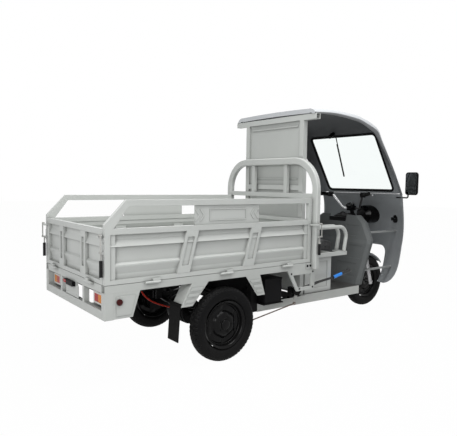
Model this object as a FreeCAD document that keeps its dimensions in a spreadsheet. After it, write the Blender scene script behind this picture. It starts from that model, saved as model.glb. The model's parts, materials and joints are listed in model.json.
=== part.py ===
"""Electric cargo tricycle with a drop-side bed and a half cab.

Lengths are millimetres. Pieces are drawn from the rear axle forward (+X), from the centre plane to the
left (+Y) and from the ground up (+Z), and the finished sub-parts are moved along X by axle_x.
"""
import FreeCAD, Part
import math
import os
import Sketcher
from FreeCAD import Placement, Rotation, Vector

SIZES = {
    # wheels and stance
    "axle_x": -806,
    "wheelbase": 2300,
    "rear_track": 1050,
    "tyre_radius": 271.5,
    "tyre_width": 104,
    "front_tyre_width": 94,
    "bead_radius": 174,
    # cargo bed
    "bed_length": 1800,
    "bed_front": 874,
    "bed_half": 557,
    "bed_top": 654,
    "beam_size": 50,
    "floor_sheet": 3,
    "tube_wall": 3,
    "cross_count": 5,
    "post_bottom": 437,
    "post_width": 60,
    "lamp_bar_height": 56,
    "lamp_upright": 30,
    # gates
    "gate_gap": 3,
    "gate_thickness": 30,
    "gate_top": 1005,
    "gate_rail": 37,
    "gate_sill": 28,
    "stile_width": 38,
    "panel_margin": 36,
    "guard_top": 1183,
    "guard_height": 41,
    "guard_start": 1030,
    "guard_slant": 146,
    "hinge_shift": 26,
    "hinge_offset": 15,
    "hinge_radius": 9,
    "hinge_knuckle": 55,
    "hinge_pin": 4,
    "hinge_play": 0.05,
    "hinge_height": 650,
    "tail_hinge_y": 335,
    # headboard hoop
    "hoop_gap": 31,
    "hoop_margin": 48,
    "hoop_top": 1523,
    "hoop_face": 60,
    "hoop_depth": 45,
    "hoop_bend": 250,
    "hoop_rail_z": 1200,
    "hoop_bar_y": 217,
    # chassis
    "rail_width": 50,
    "rail_depth": 60,
    "kick_x": 375,
    "kick_length": 63,
    "frame_half": 400,
    "frame_bottom": 271,
    "frame_depth": 64,
    "floor_top": 345,
    "floor_front": 1710,
    # cab
    "cab_gap": 30,
    "cab_post": 46,
    "cab_post_inset": 65,
    "ledge_z": 1245,
    "roof_beam_half": 527,
    "roof_beam_top": 1884,
    "cab_half": 515,
    "shell_wall": 4,
    "lining_wall": 4,
    "cowl_rim_x": 2230,
    "arch_half": 202,
    "arch_radius": 80,
    "arch_z": 580,
    # steering
    "rake": 17,
    "fork_half": 84,
    "stanchion": 14,
    "slider": 21,
    "stem": 20,
    "bearing_play": 0.06,
    "bar_radius": 11,
    # seat
    "seat_front": 1320,
    "seat_inset": 10,
    "seat_top": 655,
    "cushion_half": 292,
    "cushion_height": 105,
    "arm_z": 915,
    "arm_radius": 17,
    "arm_reach": 201,
    # latches
    "latch_reach": 12,
    "tail_latch_z": 858,
    "side_latch_z": 869,
    "keeper_gap": 1.5,
}

ACROSS = Vector(0, 1, 0)
SEAM = 0.3
SKIN_GAP = 1.0


class Size(float):
    """A length that keeps the sheet formula it was worked out from."""

    def __new__(cls, value, formula):
        size = super().__new__(cls, value)
        size.formula = formula
        return size

    def __add__(self, other):
        return combine(self, "+", other)

    def __radd__(self, other):
        return combine(other, "+", self)

    def __sub__(self, other):
        return combine(self, "-", other)

    def __rsub__(self, other):
        return combine(other, "-", self)

    def __mul__(self, other):
        return combine(self, "*", other)

    def __rmul__(self, other):
        return combine(other, "*", self)

    def __truediv__(self, other):
        return combine(self, "/", other)

    def __neg__(self):
        return combine(0, "-", self)


def formula_of(value):
    return value.formula if isinstance(value, Size) else "(%r)" % float(value)


def combine(left, sign, right):
    """The Size left + right, left - right, left * right or left / right."""
    one = float(left)
    two = float(right)
    if sign == "+":
        result = one + two
    elif sign == "-":
        result = one - two
    elif sign == "*":
        result = one * two
    else:
        result = one / two
    return Size(result, "(%s %s %s)" % (formula_of(left), sign, formula_of(right)))


class Sheet:
    """Reads the sizes back from the spreadsheet as attributes."""

    def __init__(self, document):
        self.cells = document.addObject("Spreadsheet::Sheet", "Sizes")
        for row, (alias, value) in enumerate(SIZES.items(), start=1):
            self.cells.set("A%d" % row, alias)
            self.cells.set("B%d" % row, str(value))
            self.cells.setAlias("B%d" % row, alias)
        document.recompute()

    def __getattr__(self, alias):
        return Size(self.cells.get(alias), "Sizes." + alias)


doc = FreeCAD.newDocument("CargoTricycle")
s = Sheet(doc)
subparts = []


# Building blocks

def bind(obj, prop, size):
    obj.setExpression(prop, formula_of(size))


def box(x, y, z):
    """A block between three (low, high) pairs."""
    block = doc.addObject("Part::Box", "Block")
    for prop, axis, (low, high) in zip(("Length", "Width", "Height"), "xyz", (x, y, z)):
        bind(block, prop, high - low)
        bind(block, "Placement.Base." + axis, low)
    return block


def beam(axis, wall, x, y, z):
    """A rectangular tube along one axis, open at both ends."""
    spans = [x, y, z]
    inner = []
    for name, (low, high) in zip("xyz", spans):
        inner.append((low, high) if name == axis else (low + wall, high - wall))
    return cut(box(*spans), box(*inner))


def rod(axis, radius, span, across):
    """A cylinder along one axis between span's ends, at the two other coordinates in across."""
    bar = doc.addObject("Part::Cylinder", "Rod")
    turns = {"x": Rotation(ACROSS, 90), "y": Rotation(Vector(1, 0, 0), -90), "z": Rotation()}
    bar.Placement = Placement(Vector(), turns[axis])
    bind(bar, "Radius", radius)
    bind(bar, "Height", span[1] - span[0])
    others = [name for name in "xyz" if name != axis]
    bind(bar, "Placement.Base." + axis, span[0])
    for name, value in zip(others, across):
        bind(bar, "Placement.Base." + name, value)
    return bar


def feature(shape):
    form = doc.addObject("Part::Feature", "Form")
    form.Shape = shape
    return form


def fuse(*pieces):
    joined = doc.addObject("Part::MultiFuse", "Joined")
    joined.Shapes = list(pieces)
    joined.Refine = True
    return joined


def cut(base, *tools):
    rest = doc.addObject("Part::Cut", "Cut")
    rest.Base = base
    rest.Tool = tools[0] if len(tools) == 1 else fuse(*tools)
    return rest


def mirrored(piece):
    """The same piece on the other side of the centre plane."""
    twin = doc.addObject("Part::Mirroring", "Twin")
    twin.Source = piece
    twin.Normal = ACROSS
    return twin


def both(*pieces):
    """Each piece together with its twin on the other side."""
    sides = list(pieces)
    for piece in pieces:
        sides.append(mirrored(piece))
    return sides


def hold(sketch, kind, number, end, value):
    """Ties one coordinate of a sketched corner to its size."""
    if value == 0 and not isinstance(value, Size):
        axis = -2 if kind == "DistanceX" else -1
        sketch.addConstraint(Sketcher.Constraint("PointOnObject", number, end, axis))
        return
    index = sketch.addConstraint(Sketcher.Constraint(kind, -1, 1, number, end, float(value)))
    if isinstance(value, Size):
        sketch.setExpression("Constraints[%d]" % index, value.formula)


def trace(sketch, loop):
    """Draws a closed loop; a corner (x, y, mid_x, mid_y) starts an arc through its second pair."""
    edges = []
    for index, corner in enumerate(loop):
        here = Vector(corner[0], corner[1], 0)
        ahead = loop[(index + 1) % len(loop)]
        there = Vector(ahead[0], ahead[1], 0)
        if len(corner) == 4:
            edge = Part.Arc(here, Vector(corner[2], corner[3], 0), there)
        else:
            edge = Part.LineSegment(here, there)
        number = sketch.addGeometry(edge)
        begins = 1 if sketch.getPoint(number, 1).isEqual(here, 1e-6) else 2
        edges.append((number, begins))
    for index, (number, begins) in enumerate(edges):
        before, began = edges[index - 1]
        sketch.addConstraint(Sketcher.Constraint("Coincident", before, 3 - began, number, begins))
        hold(sketch, "DistanceX", number, begins, loop[index][0])
        hold(sketch, "DistanceY", number, begins, loop[index][1])


def drawing(body, plane, loops, start=0.0):
    """A sketch on one of the body's origin planes, moved along the plane's normal by start."""
    sketch = body.newObject("Sketcher::SketchObject", "Sketch")
    origin = [item for item in body.Origin.OriginFeatures if item.Role == plane + "_Plane"][0]
    sketch.AttachmentSupport = (origin, [""])
    sketch.MapMode = "FlatFace"
    bind(sketch, "AttachmentOffset.Base.z", start)
    for loop in loops:
        trace(sketch, loop)
    return sketch


def plate(plane, loops, start, depth):
    """A padded outline; the pad runs along +Z on XY, along -Y on XZ and along +X on YZ."""
    body = doc.addObject("PartDesign::Body", "Plate")
    sketch = drawing(body, plane, loops, start)
    pad = body.newObject("PartDesign::Pad", "Pad")
    pad.Profile = sketch
    bind(pad, "Length", depth)
    return body


def turned(loops):
    """A body of revolution about Y, from (y, radius) loops."""
    body = doc.addObject("PartDesign::Body", "Turned")
    sketch = drawing(body, "YZ", loops)
    spin = body.newObject("PartDesign::Revolution", "Revolution")
    spin.Profile = sketch
    spin.ReferenceAxis = (sketch, ["H_Axis"])
    spin.Angle = 360
    return body


def rounded(points, radius, closed=False):
    """A wire of straight runs whose corners are tangent arcs of one radius."""
    count = len(points)
    inner = range(count) if closed else range(1, count - 1)
    ends = {}
    arcs = {}
    for index in inner:
        corner = points[index]
        back = (points[index - 1] - corner).normalize()
        ahead = (points[(index + 1) % count] - corner).normalize()
        half = back.getAngle(ahead) / 2
        reach = radius / math.tan(half)
        middle = (back + ahead).normalize()
        first = corner + back * reach
        last = corner + ahead * reach
        crest = corner + middle * (radius / math.sin(half) - radius)
        arcs[index] = Part.Arc(first, crest, last).toShape()
        ends[index] = (first, last)
    edges = []
    for index in range(count if closed else count - 1):
        after = (index + 1) % count
        start = ends[index][1] if index in ends else points[index]
        stop = ends[after][0] if after in ends else points[after]
        if start.distanceToPoint(stop) > 1e-6:
            edges.append(Part.LineSegment(start, stop).toShape())
        if after in arcs:
            edges.append(arcs[after])
    return Part.Wire(Part.__sortEdges__(edges))


def pipe(points, bend, radius):
    """A round bar along bent straight runs."""
    runs = []
    for edge in rounded(points, bend).OrderedEdges:
        start = edge.valueAt(edge.FirstParameter)
        along = edge.tangentAt(edge.FirstParameter)
        end = Part.Face(Part.Wire(Part.Circle(start, along, radius).toShape()))
        if isinstance(edge.Curve, Part.Circle):
            sweep = math.degrees(edge.LastParameter - edge.FirstParameter)
            runs.append(end.revolve(edge.Curve.Center, edge.Curve.Axis, sweep))
        else:
            runs.append(end.extrude(along * edge.Length))
    return feature(runs[0].multiFuse(runs[1:]))


def strut(start, end, radius):
    """A straight round bar between two points."""
    along = end - start
    return feature(Part.makeCylinder(radius, along.Length, start, along))


def largest(shape):
    return max(shape.Solids, key=lambda solid: solid.Volume)


def subpart(label, *pieces, at=(0, 0, 0), turn=None):
    """Names a finished piece, and moves it from the axle's origin to the part's own."""
    whole = pieces[0] if len(pieces) == 1 else fuse(*pieces)
    whole.Label = label
    if turn is not None:
        whole.Placement = Placement(Vector(), turn)
    bind(whole, "Placement.Base.x", s.axle_x + at[0])
    bind(whole, "Placement.Base.y", at[1])
    bind(whole, "Placement.Base.z", at[2])
    subparts.append(whole)
    return whole


def left_of(label, right):
    """The left-hand sub-part of a pair."""
    twin = mirrored(right)
    twin.Label = label
    subparts.append(twin)
    return twin


# Values shared by several pieces

BED_FRONT = s.bed_front
BED_REAR = BED_FRONT - s.bed_length
BED_MID = (BED_REAR + BED_FRONT) / 2
BEAM_BOTTOM = s.bed_top - s.beam_size
GATE_INNER = s.bed_half - s.gate_thickness
GATE_BOTTOM = s.bed_top + s.gate_gap
TAIL_HALF = GATE_INNER - s.gate_gap
TAIL_FRONT = BED_REAR + s.gate_thickness
SIDE_AXIS_Y = -s.bed_half - s.hinge_offset
TAIL_AXIS_X = BED_REAR - s.hinge_offset
FRAME_TOP = s.frame_bottom + s.frame_depth
RAIL_BOTTOM = BEAM_BOTTOM - s.rail_depth
RAIL_Y = s.frame_half - s.rail_width * 2
HOOP_X = BED_FRONT + s.hoop_gap
HOOP_HALF = s.bed_half + s.hoop_margin
CAB_X = HOOP_X + s.cab_gap
CAB_FRONT = CAB_X + s.cab_post
CAB_POST_Y = s.frame_half - s.cab_post_inset
CAB_POST_OUTER = CAB_POST_Y + s.cab_post
LAMP_UPRIGHT_Y = s.bed_half * 0.352
HINGE_PLACES = [BED_MID + s.hinge_shift + s.bed_length / 3 * index for index in (-1, 0, 1)]
TAIL_HINGES = (-s.tail_hinge_y, s.tail_hinge_y)
SEAT_HALF = s.frame_half - s.seat_inset
LEVER_Y = -s.frame_half - 43
LEVER_PIVOT = (840.0, 400.0)
ROD_PIN = (802.0, 300.0)
AHEAD = Vector(1, 0, 0)
BEAM_Z = s.roof_beam_top - s.cab_post
TAIL_LATCH = (BED_REAR, -(GATE_INNER + s.gate_thickness / 2) - 2, s.tail_latch_z)
SIDE_LATCH = (HOOP_X, -HOOP_HALF, s.side_latch_z)
SPRING_REACH = 430.0
FORK_TURN = Rotation(ACROSS, -s.rake)
FORK_AT = (s.wheelbase, 0, s.tyre_radius)


def on_fork(along, ahead=0.0, across=0.0):
    """A point of the fork's own frame: along the steering axis from the wheel centre."""
    centre = Vector(s.wheelbase, 0, s.tyre_radius)
    return centre + FORK_TURN.multVec(Vector(ahead, across, along))


NECK = (Vector(s.floor_front - 15, 0, s.frame_bottom + 4), on_fork(640, -10))
NECK_RADIUS = 30


# Wheels

def tyre(width):
    half = width / 2
    bead = s.bead_radius
    crown = s.tyre_radius
    shoulder = crown - 16
    tread = half - 14
    groove = 7
    return turned([[
        (-half + 8, bead, -half - 1, (bead + shoulder) / 2),
        (-half + 4, shoulder),
        (-tread, crown - 4),
        (-groove - 18, crown - 1),
        (-groove - 15, crown - 8),
        (-groove - 8, crown - 8),
        (-groove - 5, crown),
        (groove + 5, crown),
        (groove + 8, crown - 8),
        (groove + 15, crown - 8),
        (groove + 18, crown - 1),
        (tread, crown - 4),
        (half - 4, shoulder, half + 1, (bead + shoulder) / 2),
        (half - 8, bead),
    ]])


def rim(width, hub_face, hub_radius, bore):
    """A pressed disc wheel; +y is the outer side and the disc dishes out to the hub face."""
    seat = width / 2 - 8
    edge = s.bead_radius
    body = turned([[
        (-seat, edge),
        (-seat, edge - 8),
        (-seat + 22, edge - 24),
        (seat - 34, edge - 24),
        (seat - 40, hub_radius + 44),
        (hub_face - 26, hub_radius + 12),
        (-seat + 6, hub_radius),
        (-seat + 6, bore),
        (hub_face, bore),
        (hub_face, hub_radius - 12),
        (hub_face - 18, hub_radius + 10),
        (seat - 30, hub_radius + 38),
        (seat - 26, edge - 26),
        (seat - 10, edge - 18),
        (seat, edge - 8),
        (seat, edge),
    ]])
    return body


def with_vents(body, count, radius, ring, reach):
    """Round holes through the disc, repeated about the axle."""
    sketch = body.newObject("Sketcher::SketchObject", "Vent")
    origin = [item for item in body.Origin.OriginFeatures if item.Role == "XZ_Plane"][0]
    sketch.AttachmentSupport = (origin, [""])
    sketch.MapMode = "FlatFace"
    sketch.addGeometry(Part.Circle(Vector(0, ring, 0), Vector(0, 0, 1), radius))
    sketch.addConstraint(Sketcher.Constraint("PointOnObject", 0, 3, -2))
    hold(sketch, "DistanceY", 0, 3, ring)
    sketch.addConstraint(Sketcher.Constraint("Radius", 0, float(radius)))
    vent = body.newObject("PartDesign::Pocket", "Vent")
    vent.Profile = sketch
    vent.Midplane = True
    bind(vent, "Length", reach)
    doc.recompute()
    ring_of = body.newObject("PartDesign::PolarPattern", "Vents")
    ring_of.Originals = [vent]
    ring_of.Axis = ([item for item in body.Origin.OriginFeatures if item.Role == "Y_Axis"][0], [""])
    ring_of.Angle = 360
    ring_of.Occurrences = count
    body.Tip = ring_of
    return body


def rear_wheels():
    hub_face = s.tyre_width / 2 - 4
    side = s.rear_track / 2
    for name, sign in (("right", -1), ("left", 1)):
        turn = Rotation(Vector(0, 0, 1), 180) if sign < 0 else Rotation()
        at = (0, sign * side, s.tyre_radius)
        subpart(name + "_tyre", tyre(s.tyre_width), at=at, turn=turn)
        disc = rim(s.tyre_width, hub_face, 62.0, 20.0 + s.bearing_play)
        subpart(name + "_rim", with_vents(disc, 6, 13.0, 128.0, s.tyre_width), at=at, turn=turn)


def front_wheel():
    subpart("front_tyre", tyre(s.front_tyre_width), at=FORK_AT)
    disc = rim(s.front_tyre_width, s.front_tyre_width / 2 - 8, 48.0, 8.0 + s.bearing_play)
    subpart("front_rim", with_vents(disc, 5, 14.0, 120.0, s.front_tyre_width), at=FORK_AT)


# Chassis

def chassis_frame():
    kick = (s.kick_x, s.kick_x + s.kick_length)
    low = (s.frame_bottom, FRAME_TOP)
    side = (-s.frame_half, -s.frame_half + s.rail_width)
    rail = (-RAIL_Y - s.rail_width, -RAIL_Y)
    upper = beam("x", s.tube_wall, (BED_REAR + s.post_width + 4, kick[1]), rail, (RAIL_BOTTOM, BEAM_BOTTOM))
    post = beam("z", s.tube_wall, kick, side, (FRAME_TOP, BEAM_BOTTOM))
    lower = beam("x", s.tube_wall, (s.kick_x, s.floor_front - 20), side, low)
    pieces = both(upper, post, lower)
    high = (BEAM_BOTTOM - 44, BEAM_BOTTOM - 4)
    for x in (BED_REAR + 70, -300, 200):
        pieces.append(beam("y", s.tube_wall, (x, x + 40), (-RAIL_Y, RAIL_Y), high))
    inside = (s.frame_bottom + 8, FRAME_TOP - 8)
    for x in (s.kick_x, CAB_X, s.floor_front - 60):
        pieces.append(beam("y", s.tube_wall, (x, x + 40), (side[1], -side[1]), inside))
    hanger = (RAIL_BOTTOM - 66, RAIL_BOTTOM)
    for x in (-SPRING_REACH, SPRING_REACH):
        ear = box((x - 22, x + 22), (rail[1] - 8, rail[1]), hanger)
        outer = box((x - 22, x + 22), (rail[0], rail[0] + 8), hanger)
        pieces += both(ear, outer)
    tray = s.frame_half + 80
    pieces.append(box((kick[1], kick[1] + 210), (-tray, tray), (FRAME_TOP, FRAME_TOP + 8)))
    head = strut(on_fork(540), on_fork(740), 32.0)
    neck = strut(*NECK, NECK_RADIUS)
    pieces.append(cut(fuse(head, neck), strut(on_fork(530), on_fork(750), s.stem + s.bearing_play)))
    subpart("chassis_frame", *pieces, *lever_bracket())


def lever_bracket():
    """Two cheeks and a bridge that carry the parking lever's pin."""
    cheek = [(790, 385), (815, 365), (850, 365), (880, 400), (860, 425), (790, 425)]
    span = (LEVER_Y - 17, LEVER_Y + 13)
    pieces = [plate("XZ", [cheek], start, 4.0) for start in (-LEVER_Y + 13, -LEVER_Y - 13)]
    pieces.append(box((790.0, 822.0), (span[0], -s.frame_half), (425.0, 431.0)))
    pieces.append(box((790.0, 822.0), (-s.frame_half, -s.frame_half + 20), (FRAME_TOP, 431.0)))
    pieces.append(rod("y", 7.0, span, LEVER_PIVOT))
    return pieces


def cargo_bed():
    size = s.beam_size
    z = (BEAM_BOTTOM, s.bed_top)
    inner = s.bed_half - size
    sheet_low = s.bed_top - s.floor_sheet
    pieces = both(beam("x", s.tube_wall, (BED_REAR, BED_FRONT), (-s.bed_half, -inner), z))
    for x in (BED_REAR, BED_FRONT - size):
        pieces.append(beam("y", s.tube_wall, (x, x + size), (-inner, inner), z))
    clear = s.bed_length - 2 * size
    count = int(s.cross_count)
    for index in range(count):
        x = BED_REAR + size + clear * ((index + 0.5) / count) - 20
        pieces.append(beam("y", s.tube_wall, (x, x + 40), (-inner, inner), (BEAM_BOTTOM, sheet_low)))
    pieces.append(box((BED_REAR + size, BED_FRONT - size), (-inner, inner), (sheet_low, s.bed_top)))
    for x in HINGE_PLACES:
        pieces += both(*side_hinge_base(x))
    for y in TAIL_HINGES:
        pieces += tail_hinge_base(y)
    subpart("cargo_bed", *pieces)


def side_hinge_base(x):
    """The beam's half of one side hinge: knuckle, leaf and pin."""
    knuckle = (x - s.hinge_knuckle, x - SEAM)
    leaf = box(knuckle, (SIDE_AXIS_Y, -s.bed_half), (s.hinge_height - s.hinge_radius, s.hinge_height))
    barrel = rod("x", s.hinge_radius, knuckle, (SIDE_AXIS_Y, s.hinge_height))
    length = (x - s.hinge_knuckle, x + s.hinge_knuckle - 5)
    pin = rod("x", s.hinge_pin, length, (SIDE_AXIS_Y, s.hinge_height))
    return [leaf, barrel, pin]


def tail_hinge_base(y):
    knuckle = (y - s.hinge_knuckle, y - SEAM)
    leaf = box((TAIL_AXIS_X, BED_REAR), knuckle, (s.hinge_height - s.hinge_radius, s.hinge_height))
    barrel = rod("y", s.hinge_radius, knuckle, (TAIL_AXIS_X, s.hinge_height))
    length = (y - s.hinge_knuckle, y + s.hinge_knuckle - 5)
    pin = rod("y", s.hinge_pin, length, (TAIL_AXIS_X, s.hinge_height))
    return [leaf, barrel, pin]


LAMP_BAR_TOP = s.post_bottom + s.lamp_bar_height
LAMP_BACK = BED_REAR + 58


def rear_lamp_frame():
    z = (s.post_bottom, BEAM_BOTTOM)
    corner = (-s.bed_half, -s.bed_half + s.beam_size)
    front = BED_REAR + 36
    window = (LAMP_BAR_TOP, BEAM_BOTTOM)
    post = beam("z", s.tube_wall, (BED_REAR, BED_REAR + s.post_width), corner, z)
    bar = beam("y", s.tube_wall, (BED_REAR, front), (corner[1], -corner[1]), (s.post_bottom, LAMP_BAR_TOP))
    upright = box((BED_REAR, front), (-LAMP_UPRIGHT_Y - s.lamp_upright, -LAMP_UPRIGHT_Y), window)
    recess = (corner[1], -LAMP_UPRIGHT_Y - 70)
    lamp_back = box((LAMP_BACK, LAMP_BACK + 3), recess, window)
    lamp_shelf = box((front, LAMP_BACK + 3), recess, (LAMP_BAR_TOP - 3, LAMP_BAR_TOP))
    pieces = both(post, upright, lamp_back, lamp_shelf)
    foot = BEAM_BOTTOM - 108
    shoulder = BEAM_BOTTOM - 30
    right = [(-90, BEAM_BOTTOM), (-120, shoulder), (-120, foot)]
    field = right + [(-y, z) for y, z in reversed(right)]
    number = plate("YZ", [field], BED_REAR + 2, 3.0)
    holes = [rod("x", 3.5, (BED_REAR, BED_REAR + 8), (y, BEAM_BOTTOM - 90)) for y in (-85.0, 85.0)]
    subpart("rear_lamp_frame", bar, *pieces, cut(number, *holes))


def rear_lamps():
    face = BED_REAR + 28
    back = LAMP_BACK
    low = LAMP_BAR_TOP + 16
    high = BEAM_BOTTOM - 18
    outer = -s.bed_half + 101
    inner = outer + 140
    housing = box((face + 8, back), (outer - 5, inner + 5), (low - 5, high + 5))
    reach = BED_REAR - 22
    plate_z = (BEAM_BOTTOM - 34, BEAM_BOTTOM - 2)
    plate_lamp = box((reach, BED_REAR + 2), (-60.0, 60.0), plate_z)
    hood = box((reach + 6, BED_REAR + 2), (60.0, 116.0), (plate_z[0] + 4, plate_z[1]))
    subpart("rear_lamp_bodies", plate_lamp, hood, *both(housing))
    lens = box((face, face + 8), (outer, inner), (low, high))
    reflector = rod("y", 20.0, (-s.bed_half - 12, -s.bed_half - 3), (BED_REAR + 96, 545.0))
    strip = box((reach, reach + 6), (66.0, 116.0), (plate_z[0] + 8, plate_z[1] - 4))
    subpart("rear_lenses", strip, *both(lens, reflector))


def pressed(outline, field, start, sheet, rise):
    """A sheet outline with a raised field pressed towards the outside."""
    base = plate("XZ", [outline], start, sheet)
    raised = plate("XZ", [field], start + sheet, rise)
    return [base, raised]


def side_plates():
    """Corner panels, mudguard plates with their cross sheets, and step brackets."""
    sheet = 4
    face = s.bed_half - sheet
    top = BEAM_BOTTOM
    low = s.post_bottom + 2
    back = BED_REAR + s.post_width
    panel = [(back, low), (back + 130, low), (back + 182, top), (back, top)]
    field_low = low + 18
    field_top = top - 22
    field = [(back + 16, field_low), (back + 118, field_low), (back + 150, field_top), (back + 16, field_top)]
    pieces = pressed(panel, field, face, sheet, 3.0)
    foot = 446
    tall = foot - top
    for up, up_end, down_end, down in ((-290, -150, -283, -376), (190, 328, 380, 305)):
        pieces.append(plate("XZ", [[(up, top), (up_end, top), (down_end, foot), (down, foot)]], face, sheet))
        for share in (0.2, 0.45, 0.7):
            rib = []
            for level, edge in ((share, 0), (share, 1), (share + 0.14, 1), (share + 0.14, 0)):
                start = up_end + (down_end - up_end) * level - 14 if edge else up + (down - up) * level + 14
                rib.append((start, top + tall * level))
            pieces.append(plate("XZ", [rib], s.bed_half, 4.0))
    for up, down in ((-290, -376), (322, 374)):
        sheet_edge = [(up, top), (up + 6, top), (down + 6, foot), (down, foot)]
        pieces.append(plate("XZ", [sheet_edge], s.bed_half - 118, 118 - sheet))
    step = [(617, top), (934, top), (926, 428), (724, 428)]
    window = [(680, 562), (882, 562), (882, 456), (736, 456)]
    pieces.append(plate("XZ", [step, window], s.bed_half - 14, 14.0))
    subpart("side_plates", *both(*pieces))


def mud_flaps():
    flap = plate("XZ", [[(-377, 470), (-371, 470), (-377, 446), (-392, 205), (-398, 205), (-383, 446)]],
                 s.bed_half - 139, 135.0)
    subpart("mud_flaps", *both(flap))


def battery_box():
    x = s.kick_x + s.kick_length
    half = s.frame_half + 70
    lip = half + 4
    case = box((x + 18, x + 198), (-half, half), (FRAME_TOP + 8, RAIL_BOTTOM - 14))
    lid = box((x + 15, x + 202), (-lip, lip), (RAIL_BOTTOM - 14, RAIL_BOTTOM - 4))
    subpart("battery_box", case, lid)


# Gates

def press_profile(face, low, high):
    """The gate panel's pressing, as (depth, z) towards the inside of a face at depth 0."""
    wall = 5
    flat = 21
    ridge = face - 2
    floor = face - flat
    line = [
        (floor, high),
        (floor, high - 33),
        (ridge, high - 76),
        (floor, high - 84),
        (floor, low + 105),
        (ridge - 4, low + 92),
        (ridge - 4, low + 81),
        (floor, low + 35),
        (floor, low),
    ]
    return line + [(depth - wall, z) for depth, z in reversed(line)]


def stake(low_x, high_x, width, low, high, face):
    """A leaning pressed stake with a sunk middle field."""
    rise = 20
    lean = high_x - low_x
    outer = [(low_x, low), (low_x + width, low), (high_x + width, high), (high_x, high)]
    edge = 24
    tall = high - low
    sunk = [
        (low_x + lean * 0.18 + edge, low + tall * 0.18),
        (low_x + lean * 0.18 + width - edge, low + tall * 0.18),
        (low_x + lean * 0.86 + width - edge, low + tall * 0.86),
        (low_x + lean * 0.86 + edge, low + tall * 0.86),
    ]
    body = plate("XZ", [outer, sunk], face - rise, rise + 1)
    back = plate("XZ", [sunk], face - rise, rise - 7)
    return [body, back]


STAKE_SHARES = (-0.1722, 0.1456)


def side_gate():
    face = s.bed_half
    low = GATE_BOTTOM
    top = s.gate_top
    rear = BED_REAR
    front = BED_FRONT
    stile = s.stile_width
    guard = s.guard_top
    bar = s.guard_height
    slant = rear + s.guard_slant
    panel_low = low + s.gate_sill
    panel_top = top - s.gate_rail
    outline = [(rear, low), (front, low), (front, guard), (slant, guard), (rear, s.guard_start)]
    left = rear + stile
    right = front - stile
    panel_hole = [(left, panel_low), (right, panel_low), (right, panel_top), (left, panel_top)]
    guard_hole = [(left + 22, top), (right, top), (right, guard - bar), (slant + 18, guard - bar)]
    frame = plate("XZ", [outline, panel_hole, guard_hole], GATE_INNER, s.gate_thickness)
    profile = [(-depth, z) for depth, z in press_profile(face, panel_low, panel_top)]
    panel = plate("YZ", [profile], left, right - left)
    pieces = [frame, panel]
    for edge in (left, right - s.panel_margin):
        pieces.append(box((edge, edge + s.panel_margin), (-face + 6, -face + 26), (panel_low, panel_top)))
    for share in STAKE_SHARES:
        mid = BED_MID + s.bed_length * share
        pieces += stake(mid - 73, mid, 100, panel_low, panel_top, face)
    pieces += guard_plate(BED_MID + 47, top, guard - bar, face)
    for x in HINGE_PLACES:
        knuckle = (x, x + s.hinge_knuckle)
        barrel = rod("x", s.hinge_radius, knuckle, (SIDE_AXIS_Y, s.hinge_height))
        leaf = box(knuckle, (SIDE_AXIS_Y, -face), (s.hinge_height + 7, s.hinge_height + 22))
        web = box(knuckle, (SIDE_AXIS_Y - 3, SIDE_AXIS_Y + 3), (s.hinge_height, s.hinge_height + 22))
        bore = rod("x", s.hinge_pin + s.hinge_play, knuckle, (SIDE_AXIS_Y, s.hinge_height))
        pieces.append(cut(fuse(barrel, leaf, web), bore))
    pieces += side_keeper()
    pieces += latch_base(TAIL_LATCH, True)
    right_gate = subpart("right_gate", *pieces)
    left_of("left_gate", right_gate)


def guard_plate(mid, low, high, face):
    """The pressed plate between gate and guard rail, with arrow ridges at both ends."""
    half = 289
    sheet = box((mid - half, mid + half), (-face + 8, -face + 14), (low, high))
    border = []
    for across, inset in ((165, 26), (158, 33)):
        foot = low + inset
        crest = high - inset
        ends = (mid - across, mid + across)
        border.append([(ends[0], foot), (ends[1], foot), (ends[1], crest), (ends[0], crest)])
    pieces = [sheet, plate("XZ", border, face - 9, 4.0)]
    middle = (low + high) / 2
    for sign in (-1, 1):
        for step in (205, 245):
            tip = mid + sign * step
            wing = tip + sign * 30
            thick = sign * 14
            arrow = [(tip, middle), (wing, high - 28), (wing + thick, high - 28), (tip + thick, middle),
                     (wing + thick, low + 28), (wing, low + 28)]
            pieces.append(plate("XZ", [arrow], face - 9, 4.0))
    return pieces


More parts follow.
